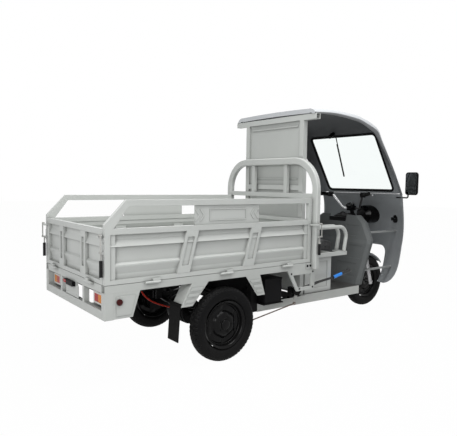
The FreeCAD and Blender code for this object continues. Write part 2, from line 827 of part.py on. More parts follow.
def tailgate():
    low = GATE_BOTTOM
    top = s.gate_top
    half = TAIL_HALF
    stile = s.stile_width
    panel_low = low + s.gate_sill
    panel_top = top - s.gate_rail
    inner = half - stile
    outline = [(-half, low), (half, low), (half, top), (-half, top)]
    hole = [(-inner, panel_low), (inner, panel_low), (inner, panel_top), (-inner, panel_top)]
    frame = plate("YZ", [outline, hole], BED_REAR, s.gate_thickness)
    profile = [(-depth, z) for depth, z in press_profile(-BED_REAR, panel_low, panel_top)]
    panel = plate("XZ", [profile], -inner, inner * 2)
    pieces = [frame, panel]
    sunk = (panel_low + 50, panel_top - 40)
    for y in (-205.0, 205.0):
        body = [(y - 45, panel_low), (y + 45, panel_low), (y + 40, panel_top), (y - 40, panel_top)]
        field = [(y - 20, sunk[0]), (y + 20, sunk[0]), (y + 20, sunk[1]), (y - 20, sunk[1])]
        pieces.append(plate("YZ", [body, field], BED_REAR - 1, 20.0))
        pieces.append(box((BED_REAR + 8, BED_REAR + 19), (y - 21, y + 21), (sunk[0] - 2, sunk[1] + 2)))
    for y in TAIL_HINGES:
        knuckle = (y, y + s.hinge_knuckle)
        barrel = rod("y", s.hinge_radius, knuckle, (TAIL_AXIS_X, s.hinge_height))
        leaf = box((TAIL_AXIS_X, BED_REAR), knuckle, (s.hinge_height + 7, s.hinge_height + 22))
        web = box((TAIL_AXIS_X - 3, TAIL_AXIS_X + 3), knuckle, (s.hinge_height, s.hinge_height + 22))
        bore = rod("y", s.hinge_pin + s.hinge_play, knuckle, (TAIL_AXIS_X, s.hinge_height))
        pieces.append(cut(fuse(barrel, leaf, web), bore))
    keeper_z = (s.tail_latch_z + 92, s.tail_latch_z + 104)
    keeper_x = (BED_REAR - s.latch_reach - 20, BED_REAR)
    pieces += both(box(keeper_x, (-TAIL_HALF - 8, -TAIL_HALF + 20), keeper_z))
    subpart("tailgate", *pieces)


# Latches, drawn about the lever's pin: +x runs away from the keeper and -y points outward

def latch_base(at, tail):
    """Bolted strip with two ears and the lever's pin."""
    reach = s.latch_reach
    strip = box((-12.0, 12.0), (reach - 4, reach), (-22.0, 60.0))
    ears = [box((low, low + 3), (-6.0, reach - 4), (-8.0, 8.0)) for low in (-10.0, 7.0)]
    pin = rod("x", 4.0, (-10.0, 10.0), (0.0, 0.0))
    base = fuse(strip, pin, *ears)
    if tail:
        base.Placement = Placement(Vector(), Rotation(Vector(0, 0, 1), -90))
        bind(base, "Placement.Base.x", at[0] - reach)
        bind(base, "Placement.Base.y", at[1])
    else:
        bind(base, "Placement.Base.x", at[0])
        bind(base, "Placement.Base.y", at[1] - reach)
    bind(base, "Placement.Base.z", at[2])
    return [base]


def side_keeper():
    """A lug that reaches from the gate's front stile past the hoop's outer face."""
    z = (s.side_latch_z + 92, s.side_latch_z + 104)
    outer = -HOOP_HALF - s.latch_reach - 20
    arm = box((BED_FRONT - 24, BED_FRONT - 4), (outer, -s.bed_half), z)
    toe = box((BED_FRONT - 24, HOOP_X - 12), (outer, -HOOP_HALF - 4), z)
    return [arm, toe]


def latch(name, at, tail):
    """Lever with its grip, and the hook on the lever's crank pin."""
    hub = rod("x", 7.5, (-6.5, 6.5), (0.0, 0.0))
    arm = box((-5.0, 5.0), (-9.0, -1.0), (-50.0, 0.0))
    grip = rod("z", 11.0, (-148.0, -46.0), (0.0, -6.0))
    crank = box((-6.5, 6.5), (-18.0, -4.0), (-2.0, 8.0))
    crank_pin = rod("x", 4.0, (-6.0, 17.0), (-14.0, 4.0))
    bore = rod("x", 4.0 + s.hinge_play, (-7.0, 7.0), (0.0, 0.0))
    lever = cut(fuse(hub, arm, grip, crank, crank_pin), bore)
    ring = rod("x", 8.0, (11.0, 16.0), (-14.0, 4.0))
    shank = box((11.0, 16.0), (-18.0, -10.0), (4.0, 114.0))
    nose = box((-18.0, 16.0), (-18.0, -6.0), (104.0 + s.keeper_gap, 114.0))
    eye = rod("x", 4.0 + s.hinge_play, (10.0, 17.0), (-14.0, 4.0))
    hook = cut(fuse(ring, shank, nose), eye)
    turn = Rotation(Vector(0, 0, 1), -90) if tail else Rotation()
    place = (at[0] - s.latch_reach, at[1], at[2]) if tail else (at[0], at[1] - s.latch_reach, at[2])
    for label, piece in (("lever", lever), ("hook", hook)):
        right = subpart("right_%s_%s" % (name, label), piece, at=place, turn=turn)
        left_of("left_%s_%s" % (name, label), right)


def latches():
    latch("tail_latch", TAIL_LATCH, True)
    latch("side_latch", SIDE_LATCH, False)


# Headboard and cab

def guard_hoop():
    face = s.hoop_face
    depth = s.hoop_depth
    middle = HOOP_HALF - face / 2
    crest = s.hoop_top - face / 2
    route = [Vector(HOOP_X, -middle, BEAM_BOTTOM), Vector(HOOP_X, -middle, crest),
             Vector(HOOP_X, middle, crest), Vector(HOOP_X, middle, BEAM_BOTTOM)]
    path = rounded(route, s.hoop_bend)
    skins = []
    for wall in (0, s.tube_wall):
        corners = [Vector(HOOP_X + a * (depth / 2 - wall), -middle + b * (face / 2 - wall), BEAM_BOTTOM)
                   for a, b in ((-1, -1), (1, -1), (1, 1), (-1, 1))]
        skins.append(path.makePipeShell([rounded(corners, 9 - wall, True)], True, True))
    bow = feature(skins[0].cut(skins[1]))
    x = (HOOP_X - 15, HOOP_X + 15)
    inner = HOOP_HALF - face
    rail = box(x, (-inner, inner), (s.hoop_rail_z - 20, s.hoop_rail_z + 20))
    bar = box(x, (-s.hoop_bar_y - 20, -s.hoop_bar_y + 20), (s.hoop_rail_z + 20, s.hoop_top - face))
    ahead = HOOP_X + depth / 2
    foot = box((BED_FRONT - 52, ahead), (-s.bed_half - 5, -s.bed_half), (BEAM_BOTTOM, s.bed_top - 2))
    low = s.bed_top
    profile = [(-inset, z) for inset, z in press_profile(-HOOP_X + 15, low + 4, s.gate_top - 30)]
    board = plate("XZ", [profile], -inner, inner * 2)
    cap = box(x, (-inner, inner), (s.gate_top - 30, s.gate_top))
    sill = box((BED_FRONT, HOOP_X + 15), (-inner, inner), (BEAM_BOTTOM, low + 4))
    base = latch_base(SIDE_LATCH, False)
    subpart("guard_hoop", bow, rail, board, cap, sill, *both(bar, foot, *base))


def cab_rear():
    x = (CAB_X, CAB_FRONT)
    post = beam("z", s.tube_wall, x, (-CAB_POST_OUTER, -CAB_POST_Y), (FRAME_TOP, BEAM_Z))
    foot = box(x, (-s.frame_half, -CAB_POST_OUTER), (FRAME_TOP, FRAME_TOP + 6))
    arm_span = (-s.frame_half - 30, -s.frame_half + 110)
    arm_plate = box((CAB_FRONT, CAB_FRONT + 5), arm_span, (s.arm_z - 40, s.arm_z + 40))
    top = beam("y", s.tube_wall, x, (-s.roof_beam_half, s.roof_beam_half), (BEAM_Z, s.roof_beam_top))
    inner = (-CAB_POST_Y, CAB_POST_Y)
    ties = [beam("y", s.tube_wall, x, inner, (z, z + 40)) for z in (s.bed_top - 60, s.ledge_z)]
    for z in (930, 1120):
        ties.append(beam("y", s.tube_wall, (CAB_FRONT - 24, CAB_FRONT), inner, (z, z + 30)))
    subpart("cab_rear_frame", top, *ties, *both(post, foot, arm_plate))
    half = CAB_POST_Y
    back = CAB_X + 14
    sheet = 3
    upper = box((back, back + sheet), (-half, half), (s.ledge_z + 40, BEAM_Z))
    lower = box((back, back + sheet), (-half, half), (s.bed_top - 20, s.ledge_z))
    shelf = box((CAB_X, back + sheet), (-half, half), (s.ledge_z + 40, s.ledge_z + 44))
    ridges = []
    for z in (s.ledge_z + 90, BEAM_Z - 50):
        ridges.append(box((back - 6, back), (-half + 30, half - 30), (z, z + 12)))
    subpart("cab_rear_panel", upper, lower, shelf, *ridges)


ROOF_FLAT = s.cab_half - 75
ROOF_LIP = 22
FLANGE_DEPTH = 38


def shell_section(station, inset, wall):
    """A closed section of the roof shell across Y: a flat middle, rolled shoulders and turned-in edges."""
    x, z, lean, back, camber, drop = station
    out = Vector(math.cos(math.radians(lean)), 0, math.sin(math.radians(lean)))

    def spot(y, depth):
        return Vector(x, y, z) - out * depth

    def line(depth):
        side = s.cab_half - depth
        lip = back + ROOF_LIP
        reach = (side - ROOF_FLAT) / 2
        fall = (lip - depth) / 2
        mid_y = side - reach + fall * 0.32
        mid_depth = depth + fall - reach * 0.32
        crest = depth - camber
        return [
            Part.LineSegment(spot(-side, back + drop), spot(-side, lip)),
            Part.Arc(spot(-side, lip), spot(-mid_y, mid_depth), spot(-ROOF_FLAT, depth)),
            Part.Arc(spot(-ROOF_FLAT, depth), spot(0, crest), spot(ROOF_FLAT, depth)),
            Part.Arc(spot(ROOF_FLAT, depth), spot(mid_y, mid_depth), spot(side, lip)),
            Part.LineSegment(spot(side, lip), spot(side, back + drop)),
        ]

    edge = s.cab_half - inset
    ends = []
    for sign in (-1, 1):
        ends.append(Part.LineSegment(spot(sign * edge, back + drop), spot(sign * (edge - wall), back + drop)))
    edges = [curve.toShape() for curve in line(inset) + line(inset + wall) + ends]
    return Part.Wire(Part.__sortEdges__(edges))


SCREEN_FOOT = Vector(2192, 0, 1259)
SCREEN_HEAD = Vector(1870, 0, 1782)
SCREEN_UP = (SCREEN_HEAD - SCREEN_FOOT).normalize()
SCREEN_OUT = ACROSS.cross(SCREEN_UP)
SCREEN_LEAN = math.degrees(math.atan2(SCREEN_OUT.z, SCREEN_OUT.x))
SCREEN_HALF_LOW = 408
SCREEN_HALF_HIGH = 402
SEAL_WIDTH = 22
CROWN_STATIONS = [
    # centre line's x and z, lean of the outward normal, side edge's set-back, camber, edge's drop
    (CAB_X, 1926, 92, 18, 8, 24),
    (1200, 1943, 90, 24, 10, 34),
    (1480, 1935, 81, 40, 8, 34),
    (1681, 1899, 64, 64, 4, 34),
]
SCREEN_STATIONS = [
    # distance up the screen from its foot, set-back of the side edge, drop of the edge
    (670, 84, 38),
    (560, 58, 42),
    (411, 28, 44),
    (194, 6, 46),
    (-44, 0, 48),
]
ROOF_STEPS = 40
WIPER_PIVOT = SCREEN_FOOT + SCREEN_UP * 662 + ACROSS * 78


def screen_face(grow, radius):
    """The windscreen's outline, grown by a margin, on the screen's own plane."""
    low = SCREEN_FOOT - SCREEN_UP * grow
    high = SCREEN_HEAD + SCREEN_UP * grow
    corners = [low - ACROSS * (SCREEN_HALF_LOW + grow), low + ACROSS * (SCREEN_HALF_LOW + grow),
               high + ACROSS * (SCREEN_HALF_HIGH + grow), high - ACROSS * (SCREEN_HALF_HIGH + grow)]
    return Part.Face(rounded(corners, radius + grow, True))


def screen_slab(grow, back, front):
    face = screen_face(grow, 30)
    face.translate(SCREEN_OUT * back)
    return face.extrude(SCREEN_OUT * (front - back))


def eased(places, values, at):
    """Reads a smooth curve through values at rising places, without overshoot between them."""
    steps = [(values[i + 1] - values[i]) / (places[i + 1] - places[i]) for i in range(len(places) - 1)]
    slopes = [steps[0]]
    for before, after in zip(steps, steps[1:]):
        slopes.append(2 * before * after / (before + after) if before * after > 0 else 0)
    slopes.append(steps[-1])
    index = max(i for i in range(len(steps)) if places[i] <= at)
    width = places[index + 1] - places[index]
    share = (at - places[index]) / width
    rest = 1 - share
    ends = values[index] * rest * rest * (1 + 2 * share) + values[index + 1] * share * share * (1 + 2 * rest)
    return ends + width * share * rest * (slopes[index] * rest - slopes[index + 1] * share)


def roof_stations():
    """Evenly spaced stations of the roof, from the cab's back edge to the foot of the screen."""
    rows = [[float(value) for value in row] for row in CROWN_STATIONS]
    for along, back, drop in SCREEN_STATIONS:
        at = SCREEN_FOOT + SCREEN_UP * along
        rows.append([at.x, at.z, SCREEN_LEAN, back, 0.02, drop])
    places = [0.0]
    for before, after in zip(rows, rows[1:]):
        places.append(places[-1] + math.hypot(after[0] - before[0], after[1] - before[1]))
    columns = list(zip(*rows))
    stations = []
    for step in range(ROOF_STEPS):
        at = places[-1] * step / (ROOF_STEPS - 1)
        stations.append([eased(places, column, at) for column in columns])
    return stations


def roof():
    """The roof's outer and inner skins, open for the screen and the wiper's shaft.

    A flange closes the outer skin's back edge down to the cab's rear beam.
    """
    opening = screen_slab(SEAL_WIDTH, -90, 60)
    shaft_hole = Part.makeCylinder(9, 120, WIPER_PIVOT - SCREEN_OUT * 60, SCREEN_OUT)
    skins = []
    for inset, wall in ((0, s.shell_wall), (s.shell_wall + SKIN_GAP, s.lining_wall)):
        wires = [shell_section(station, inset, wall) for station in roof_stations()]
        skins.append(Part.makeLoft(wires, True, False).cut(opening).cut(shaft_hole))
    flange = Part.Face(shell_section(roof_stations()[0], 0, FLANGE_DEPTH)).extrude(AHEAD * -s.shell_wall)
    return [skins[0].fuse(flange), skins[1]]


COWL_STATIONS = [
    # z, half width, rim x, nose x
    (291, 300, 2238, 2290),
    (330, 378, 2234, 2335),
    (430, 452, 2230, 2385),
    (630, 498, 2228, 2430),
    (840, 522, 2226, 2446),
    (990, 521, 2222, 2430),
    (1130, 517, 2206, 2330),
    (1215, 515, 2186, 2224),
]
LAMP_AT = Vector(s.cowl_rim_x, 0, 985)
LAMP_RADIUS = 96
INDICATOR_Y = 350
INDICATOR_Z = 955
INDICATOR_RADIUS = 40


def between(stations, at, column):
    """Reads one column of a station list, in straight steps between its first column's values."""
    for low, high in zip(stations, stations[1:]):
        if low[0] <= at <= high[0]:
            share = (at - low[0]) / (high[0] - low[0])
            return low[column] + (high[column] - low[column]) * share
    raise ValueError("no station at %s" % at)


def cowl_x(y, z, depth):
    """Where the cowl's skin lies at one side distance and height, a depth below its outer face."""
    half = between(COWL_STATIONS, z, 1) - depth
    rim_x = between(COWL_STATIONS, z, 2)
    sagitta = between(COWL_STATIONS, z, 3) - depth - rim_x
    radius = (half * half + sagitta * sagitta) / (2 * sagitta)
    return rim_x + sagitta - radius + math.sqrt(radius * radius - y * y)


def cowl_section(station, inset, wall):
    z, half, rim_x, nose = station

    def edge(side, depth):
        return Vector(rim_x, side * (half - depth), z)

    curves = []
    for depth in (inset, inset + wall):
        curves.append(Part.Arc(edge(-1, depth), Vector(nose - depth, 0, z), edge(1, depth)))
    for side in (-1, 1):
        curves.append(Part.LineSegment(edge(side, inset), edge(side, inset + wall)))
    return Part.Wire(Part.__sortEdges__([curve.toShape() for curve in curves]))


def indicator_axis():
    """The right indicator's place on the cowl's skin, and the skin's outward direction there."""
    at = Vector(cowl_x(INDICATOR_Y, INDICATOR_Z, 0), -INDICATOR_Y, INDICATOR_Z)
    beside = cowl_x(INDICATOR_Y + 1, INDICATOR_Z, 0)
    return at, Vector(1, beside - at.x, 0).normalize()


def front_shell():
    """The roof, the cowl below the screen and the lining inside both."""
    start = Vector(s.cowl_rim_x - 60, -s.arch_half, 0)
    arch = Part.makeBox(400, 2 * s.arch_half, s.arch_z + s.arch_radius, start)
    tops = [edge for edge in arch.Edges if edge.BoundBox.XLength > 399 and edge.BoundBox.ZMin > s.arch_z]
    arch = arch.makeFillet(s.arch_radius, tops)
    lamp_hole = Part.makeCylinder(LAMP_RADIUS, 400, LAMP_AT, AHEAD)
    at, out = indicator_axis()
    spots = [Part.makeCylinder(INDICATOR_RADIUS, 120, at - out * 60, out)]
    spots.append(spots[0].mirror(Vector(), ACROSS))
    roof_skins = roof()
    skins = []
    for inset, wall in ((0, s.shell_wall), (s.shell_wall + SKIN_GAP, s.lining_wall)):
        wires = [cowl_section(station, inset, wall) for station in COWL_STATIONS]
        skin = Part.makeLoft(wires, True, False)
        for tool in [arch, lamp_hole] + spots + roof_skins:
            skin = skin.cut(tool)
        skins.append(skin)
    subpart("roof_panel", feature(roof_skins[0]))
    subpart("front_cowl", feature(skins[0]))
    subpart("cab_lining", feature(skins[1]), feature(roof_skins[1]))
    wiper(roof_skins)
    return skins


def windscreen():
    bed = 10
    seal = screen_slab(SEAL_WIDTH, -12, 3).cut(screen_slab(0, -40, 40)).cut(screen_slab(bed, -7, -1))
    subpart("windscreen_seal", feature(seal))
    subpart("windscreen_glass", feature(screen_slab(bed, -7, -1)))


def headlamp():
    """The round lamp in the nose, and the indicators beside it."""
    lip = LAMP_RADIUS - 8
    shell = [(10, 0), (10, 50), (40, LAMP_RADIUS), (208, LAMP_RADIUS)]
    profile = shell + [(208, lip), (120, 76), (60, 55), (60, 0)]
    corners = [LAMP_AT + Vector(x, 0, radius) for x, radius in profile]
    face = Part.Face(Part.makePolygon(corners + [corners[0]]))
    subpart("headlamp_bucket", feature(face.revolve(LAMP_AT, AHEAD, 360)))
    dome = LAMP_AT - AHEAD * 58
    lens = Part.makeSphere(276, dome).cut(Part.makeSphere(270, dome))
    lens = lens.common(Part.makeCylinder(lip - 1.6, 140, LAMP_AT + AHEAD * 160, AHEAD))
    at, out = indicator_axis()
    amber = Part.makeCylinder(INDICATOR_RADIUS, 30, at - out * 16, out)
    amber = amber.fuse(Part.makeCylinder(17, 34, at - out * 50, out))
    subpart("front_lenses", feature(lens), *both(feature(amber)))


SHIELD_WALL = 5
SHIELD_STATIONS = [
    # z, face x, half width, fold
    (345, 1700, 396, 60),
    (560, 1748, 422, 52),
    (735, 1786, 446, 54),
    (770, 1800, 442, 56),
    (930, 1842, 332, 62),
    (998, 1862, 236, 60),
]
SHIELD_FIELDS = [
    # low and high z, inner and outer distance from the centre plane
    (410, 540, 90, 340),
    (590, 710, 90, 372),
    (800, 900, 130, 290),
]


def shield_x(z):
    return between(SHIELD_STATIONS, z, 1)


def leg_shield():
    """A moulded apron: ruled sections with sides folded forward, sunk fields and a dip for the column."""
    wall = SHIELD_WALL

    def section(z, x, half, fold, depth):
        side = half - depth
        face = x + depth
        right = [(x + fold, -side), (face + 22, -side), (face, -side + 30)]
        left = [(ahead, -across) for ahead, across in reversed(right)]
        return [Vector(ahead, across, z) for ahead, across in right + left]

    wires = []
    for z, x, half, fold in SHIELD_STATIONS:
        outer = section(z, x, half, fold, 0)
        inner = section(z, x, half, fold, wall)
        wires.append(Part.makePolygon(outer + inner[::-1] + [outer[0]]))
    apron = Part.makeLoft(wires, True, True)
    dip = Part.makeBox(400, 214, 120, Vector(1700, -107, 932))
    apron = apron.cut(dip)
    for low, high, inner, outer in SHIELD_FIELDS:
        corners = []
        for z, inset in ((low, -6), (low, 2), (high, 2), (high, -6)):
            corners.append(Vector(shield_x(z) + inset, inner, z))
        sunk = Part.Face(Part.makePolygon(corners + [corners[0]])).extrude(ACROSS * (outer - inner))
        apron = apron.cut(sunk).cut(sunk.mirror(Vector(), ACROSS))
    subpart("leg_shield", feature(apron))
    return apron


def dash_pod():
    """The instrument block in the shield's dip."""
    foot = between(SHIELD_STATIONS, 932, 1)
    base = box((foot, 2010), (-104, 104), (932, 972))
    hood = plate("XZ", [[(1880, 972), (2010, 972), (2010, 1000), (1985, 1008), (1890, 984)]], -80, 160)
    subpart("dash_pod", base, hood)


MIRROR_AT = Vector(2196, -575, 1262)
STALK_RADIUS = 7


def cowl_stays(skins, apron):
    """Flat stays from the shield to the cowl, and the mirrors' stalks."""
    pieces = []
    for y, z in ((-351, 835), (-331, 465)):
        stay = Part.makeBox(600, 28, 16, Vector(shield_x(z) - 4, y - 14, z - 8))
        for tool in [apron] + skins:
            stay = largest(stay.cut(tool))
        pieces.append(feature(stay))
    knee = Vector(MIRROR_AT.x, MIRROR_AT.y, 1180)
    stalk = pipe([Vector(MIRROR_AT.x + 12, -440, 1180), knee, MIRROR_AT], 16, STALK_RADIUS).Shape
    for skin in skins:
        stalk = largest(stalk.cut(skin))
    pieces.append(feature(stalk))
    subpart("cowl_stays", *both(*pieces))


def floor_pan():
    front = s.floor_front
    half = s.frame_half
    skirt = (s.frame_bottom - 3, FRAME_TOP)
    side = box((s.kick_x + s.kick_length, front), (-half - 3, -half), skirt)
    deck = box((CAB_FRONT, front), (-half - 3, half + 3), (FRAME_TOP, s.floor_top))
    nose = box((front - 20, front), (-half, half), (s.frame_bottom, FRAME_TOP))
    ribs = []
    for index in range(6):
        y = -150.0 + 60 * index
        ribs.append(box((s.seat_front + 30, front - 60), (y - 10, y + 10), (s.floor_top, s.floor_top + 3)))
    pan = fuse(deck, nose, *ribs, *both(side))
    subpart("floor_pan", cut(pan, strut(*NECK, NECK_RADIUS + SEAM)))


# Seat

def seat():
    back = CAB_FRONT + 6
    front = s.seat_front
    half = SEAT_HALF
    wall = s.shell_wall
    z = (s.floor_top, s.seat_top)
    block = box((back, front), (-half, half), z)
    room = box((back + wall, front - wall * 2), (-half + wall * 2, half - wall * 2), (z[0], z[1] - wall))
    sunk = []
    for side in (-half, half):
        sunk.append(box((back + 30, front - 50), (side - 4, side + 4), (z[0] + 40, z[1] - 40)))
    sunk.append(box((front - 4, front + 4), (-half + 60, half - 60), (z[0] + 50, z[1] - 40)))
    subpart("seat_box", cut(cut(block, room), *sunk))
    outer = -s.frame_half
    top = (z[1], z[1] + 34)
    tip = front + s.arm_reach
    bar = box((back, tip - 15), (outer - 14, outer + 16), top)
    cross = [box((x, x + 30), (outer, -outer), top) for x in (back, front - 30)]
    arms = []
    for y in (outer, outer + 88):
        route = [Vector(CAB_FRONT + 5, y, s.arm_z), Vector(tip, y, s.arm_z), Vector(tip - 43, y, top[1])]
        arms.append(pipe(route, 92, s.arm_radius))
    bridge = box((tip - 81, tip - 15), (outer - 14, outer + 105), (top[0] + 24, top[1]))
    subpart("seat_frame", *cross, *both(bar, bridge, *arms))
    subpart("seat_cushion", cushion((back + 10, tip - 69), s.cushion_half, top[1], s.cushion_height))
    subpart("seat_backrest", backrest())


def pad_wire(x, half, z, corner):
    points = [Vector(x[0], -half, z), Vector(x[1], -half, z), Vector(x[1], half, z), Vector(x[0], half, z)]
    return rounded(points, corner, True)


def cushion(x, half, low, tall):
    """A crowned pad: drawn in at the base and at the piped top edge."""
    layers = [(0.0, 10.0), (0.3, 0.0), (0.68, 2.0), (0.9, 16.0), (1.0, 46.0)]
    wires = []
    for level, inset in layers:
        wires.append(pad_wire((x[0] + inset, x[1] - inset), half - inset, low + tall * level, 60))
    pad = Part.makeLoft(wires, True, False)
    for y in (-half / 3, half / 3):
        pad = pad.cut(Part.makeCylinder(9, 600, Vector(x[0] - 20, y, low + tall + 5), AHEAD))
    return feature(pad)


BACK_CENTRE = Vector(0, 0, 1030)


def backrest():
    layers = [(0.0, 8.0), (0.35, 0.0), (0.75, 6.0), (1.0, 34.0)]
    depth = 62
    wires = []
    for level, inset in layers:
        wires.append(upright_wire(CAB_FRONT + depth * level, BACK_CENTRE, 270 - inset, 160 - inset, 50))
    return feature(Part.makeLoft(wires, True, False))


def upright_wire(x, centre, half, tall, corner):
    """A rounded rectangle across X, about a centre."""
    points = [Vector(x, centre.y + across * half, centre.z + up * tall)
              for across, up in ((-1, -1), (1, -1), (1, 1), (-1, 1))]
    return rounded(points, corner, True)


# Rear axle and springs

def rear_axle():
    half = s.rear_track / 2
    z = s.tyre_radius
    inner = half - s.tyre_width / 2
    tube = rod("y", 38.0, (-inner + 17, inner - 17), (0.0, z))
    spindle = rod("y", 20.0, (-half - s.tyre_width / 2 + 6, half + s.tyre_width / 2 - 6), (0.0, z))
    ball = feature(Part.makeSphere(108, Vector(0, 70, z)).common(
        Part.makeBox(240, 150, 240, Vector(-120, -5, z - 120))))
    plate_disc = rod("y", 96.0, (-inner + 8, -inner + 17), (0.0, z))
    pad = box((-45.0, 45.0), (-RAIL_Y - s.rail_width, -RAIL_Y), (z + 30, z + 46))
    cam = box((-70.0, -50.0), (-inner + 24, -inner + 32), (z - 100, z - 20))
    cam_pin = rod("y", 9.0, (-inner + 17, -inner + 34), (-60.0, z - 30))
    subpart("rear_axle", tube, spindle, ball, *both(plate_disc, pad, cam, cam_pin))
    motor = rod("y", 92.0, (-118.0, -5.0 - SEAM), (0.0, z))
    fins = [rod("y", 99.0, (y, y + 5), (0.0, z)) for y in (-96.0, -80.0, -64.0, -48.0, -32.0)]
    core = rod("y", 38.0 + SEAM, (-130.0, 0.0), (0.0, z))
    subpart("drive_motor", cut(fuse(motor, *fins), core))


LEAF = 8


def leaf_springs():
    """A stack of leaves bent between the hangers, over the axle pads."""
    eye_z = RAIL_BOTTOM - 44
    seat_z = s.tyre_radius + 46
    y = (-RAIL_Y - s.rail_width + 9, -RAIL_Y - 9)
    pieces = []
    for index, reach in enumerate((SPRING_REACH, 330.0, 240.0, 150.0)):
        low = seat_z + (3 - index) * LEAF
        rise = (eye_z - LEAF - (seat_z + 3 * LEAF)) * (reach / SPRING_REACH) ** 2
        curves = []
        for lift in (0, LEAF):
            curves.append(Part.Arc(Vector(-reach, y[0], low + rise + lift), Vector(0, y[0], low + lift),
                                   Vector(reach, y[0], low + rise + lift)))
        for x in (-reach, reach):
            curves.append(Part.LineSegment(Vector(x, y[0], low + rise), Vector(x, y[0], low + rise + LEAF)))
        wire = Part.Wire(Part.__sortEdges__([curve.toShape() for curve in curves]))
        pieces.append(feature(Part.Face(wire).extrude(Vector(0, y[1] - y[0], 0))))
    for x in (-SPRING_REACH, SPRING_REACH):
        pieces.append(rod("y", 14.0, (-RAIL_Y - s.rail_width + 8, -RAIL_Y - 8), (x, eye_z)))
    subpart("leaf_springs", *both(*pieces))


def motor_cable():
    """The red lead from the bed frame down to the axle."""
    points = [
        Vector(-470, -90, BEAM_BOTTOM),
        Vector(-460, -90, 545),
        Vector(-436, -88, 488),
        Vector(-398, -84, 436),
        Vector(-344, -78, 394),
        Vector(-276, -72, 360),
        Vector(-204, -66, 334),
        Vector(-136, -62, 310),
        Vector(-99.3, -60, 291),
    ]
    subpart("motor_cable", pipe(points, 40, 6))


# Steering

def fork():
    y = (-s.fork_half, s.fork_half)
    crown = box((-30.0, 30.0), (y[0] - 24, y[1] + 24), (468.0, 500.0))
    collar = rod("z", 30.0, (500.0, 540.0 - SEAM), (0.0, 0.0))
    stem = rod("z", s.stem, (500.0, 830.0), (0.0, 0.0))
    nut = rod("z", 28.0, (740.0 + SEAM, 758.0), (0.0, 0.0))
    clamp = box((-24.0, 24.0), (-45.0, 45.0), (800.0, 842.0))
    legs = [rod("z", s.stanchion, (170.0, 500.0), (0.0, side)) for side in y]
    bar_bore = rod("y", s.bar_radius, (-46.0, 46.0), (0.0, 822.0))
    upper = fuse(crown, collar, stem, nut, clamp, *legs)
    subpart("fork_upper", cut(upper, bar_bore), at=FORK_AT, turn=FORK_TURN)
    lowers = []
    for side in y:
        lowers.append(cut(rod("z", s.slider, (-30.0, 330.0), (0.0, side)),
                          rod("z", s.stanchion + s.bearing_play, (120.0, 331.0), (0.0, side))))
    axle = rod("y", 8.0, (y[0] - 30, y[1] + 30), (0.0, 0.0))
    bridge = cut(box((-50.0, -14.0), (y[0] - 10, y[1] + 10), (302.0, 328.0)),
                 *[rod("z", s.stanchion + 3, (300.0, 330.0), (0.0, side)) for side in y])
    subpart("fork_lower", axle, bridge, *lowers, at=FORK_AT, turn=FORK_TURN)
    fender()


def fender():
    """A rolled guard over the wheel, carried by the fork bridge."""
    outer = s.tyre_radius + 30
    half = s.front_tyre_width / 2 + 9
    wall = 3
    skirt = outer - 26
    outside = [(half, skirt), (half, outer - 10), (half - 24, outer)]
    inside = [(half - 25, outer - wall), (half - wall, outer - 11), (half - wall, skirt)]
    line = [(-across, radius) for across, radius in outside] + outside[::-1]
    line += inside[::-1] + [(-across, radius) for across, radius in inside]
    ring = [Vector(0, across, radius) for across, radius in line]
    face = Part.Face(Part.makePolygon(ring + [ring[0]]))
    face.rotate(Vector(), ACROSS, -62)
    guard = face.revolve(Vector(), ACROSS, 130)
    subpart("front_fender", feature(guard), at=FORK_AT, turn=FORK_TURN)


BAR_LOW = 822
BAR_KNEE = Vector(1992, -190, 1192)
GRIP_OUTER = Vector(1862, -366, 1214)
GRIP_INNER = BAR_KNEE + (GRIP_OUTER - BAR_KNEE).normalize() * 54
PERCH = Vector(1962, -236, 1200)


def handlebar():
    low = on_fork(BAR_LOW)
    right = [Vector(low.x, 0, low.z), Vector(low.x, -105, low.z), BAR_KNEE, GRIP_OUTER]
    half = pipe(right, 34, s.bar_radius)
    along = (GRIP_OUTER - GRIP_INNER).normalize()
    perch = strut(GRIP_INNER - along * 26, GRIP_INNER - along * 2, 19.0)
    left_grip = strut(GRIP_INNER + along * 2, GRIP_OUTER + along * 4, 17.0)
    pod = box((PERCH.x + 10.0, PERCH.x + 34.0), (PERCH.y + 6.0, PERCH.y + 34.0), (1182.0, 1216.0))
    pivot = rod("z", 4.0, (1188.0, 1212.0), (PERCH.x + 42.0, PERCH.y - 6.0))
    ears = [box((PERCH.x + 10.0, PERCH.x + 50.0), (PERCH.y - 16.0, PERCH.y + 10.0), (z, z + 5))
            for z in (1188.0, 1207.0)]
    subpart("handlebar", half, mirrored(half), mirrored(left_grip), *both(perch, pod, pivot, *ears))
    length = (GRIP_OUTER - GRIP_INNER).Length
    sleeve = Part.makeCylinder(17, length + 3, GRIP_INNER + along * 2, along)
    bore = Part.makeCylinder(s.bar_radius + s.bearing_play, length + 0.5, GRIP_INNER, along)
    subpart("throttle_grip", feature(sleeve.cut(bore)))
    at = Vector(PERCH.x + 42, PERCH.y - 6, 1193 + SEAM)
    tall = 14 - 2 * SEAM
    hub = Part.makeCylinder(9, tall, at)
    tip = at + Vector(along.x, along.y, 0).normalize() * 150 + Vector(6, -5, 0)
    side = Vector(0, 0, 1).cross((tip - at).normalize())
    corners = [at + side * 6, at - side * 6, tip - side * 4, tip + side * 4]
    blade = Part.Face(Part.makePolygon(corners + [corners[0]])).extrude(Vector(0, 0, tall))
    bore = Part.makeCylinder(4 + s.hinge_play, 40, at - Vector(0, 0, 10))
    lever = hub.fuse(blade).cut(bore)
    right_lever = subpart("right_brake_lever", feature(lever))
    left_of("left_brake_lever", right_lever)


# Wiper, mirrors and parking brake

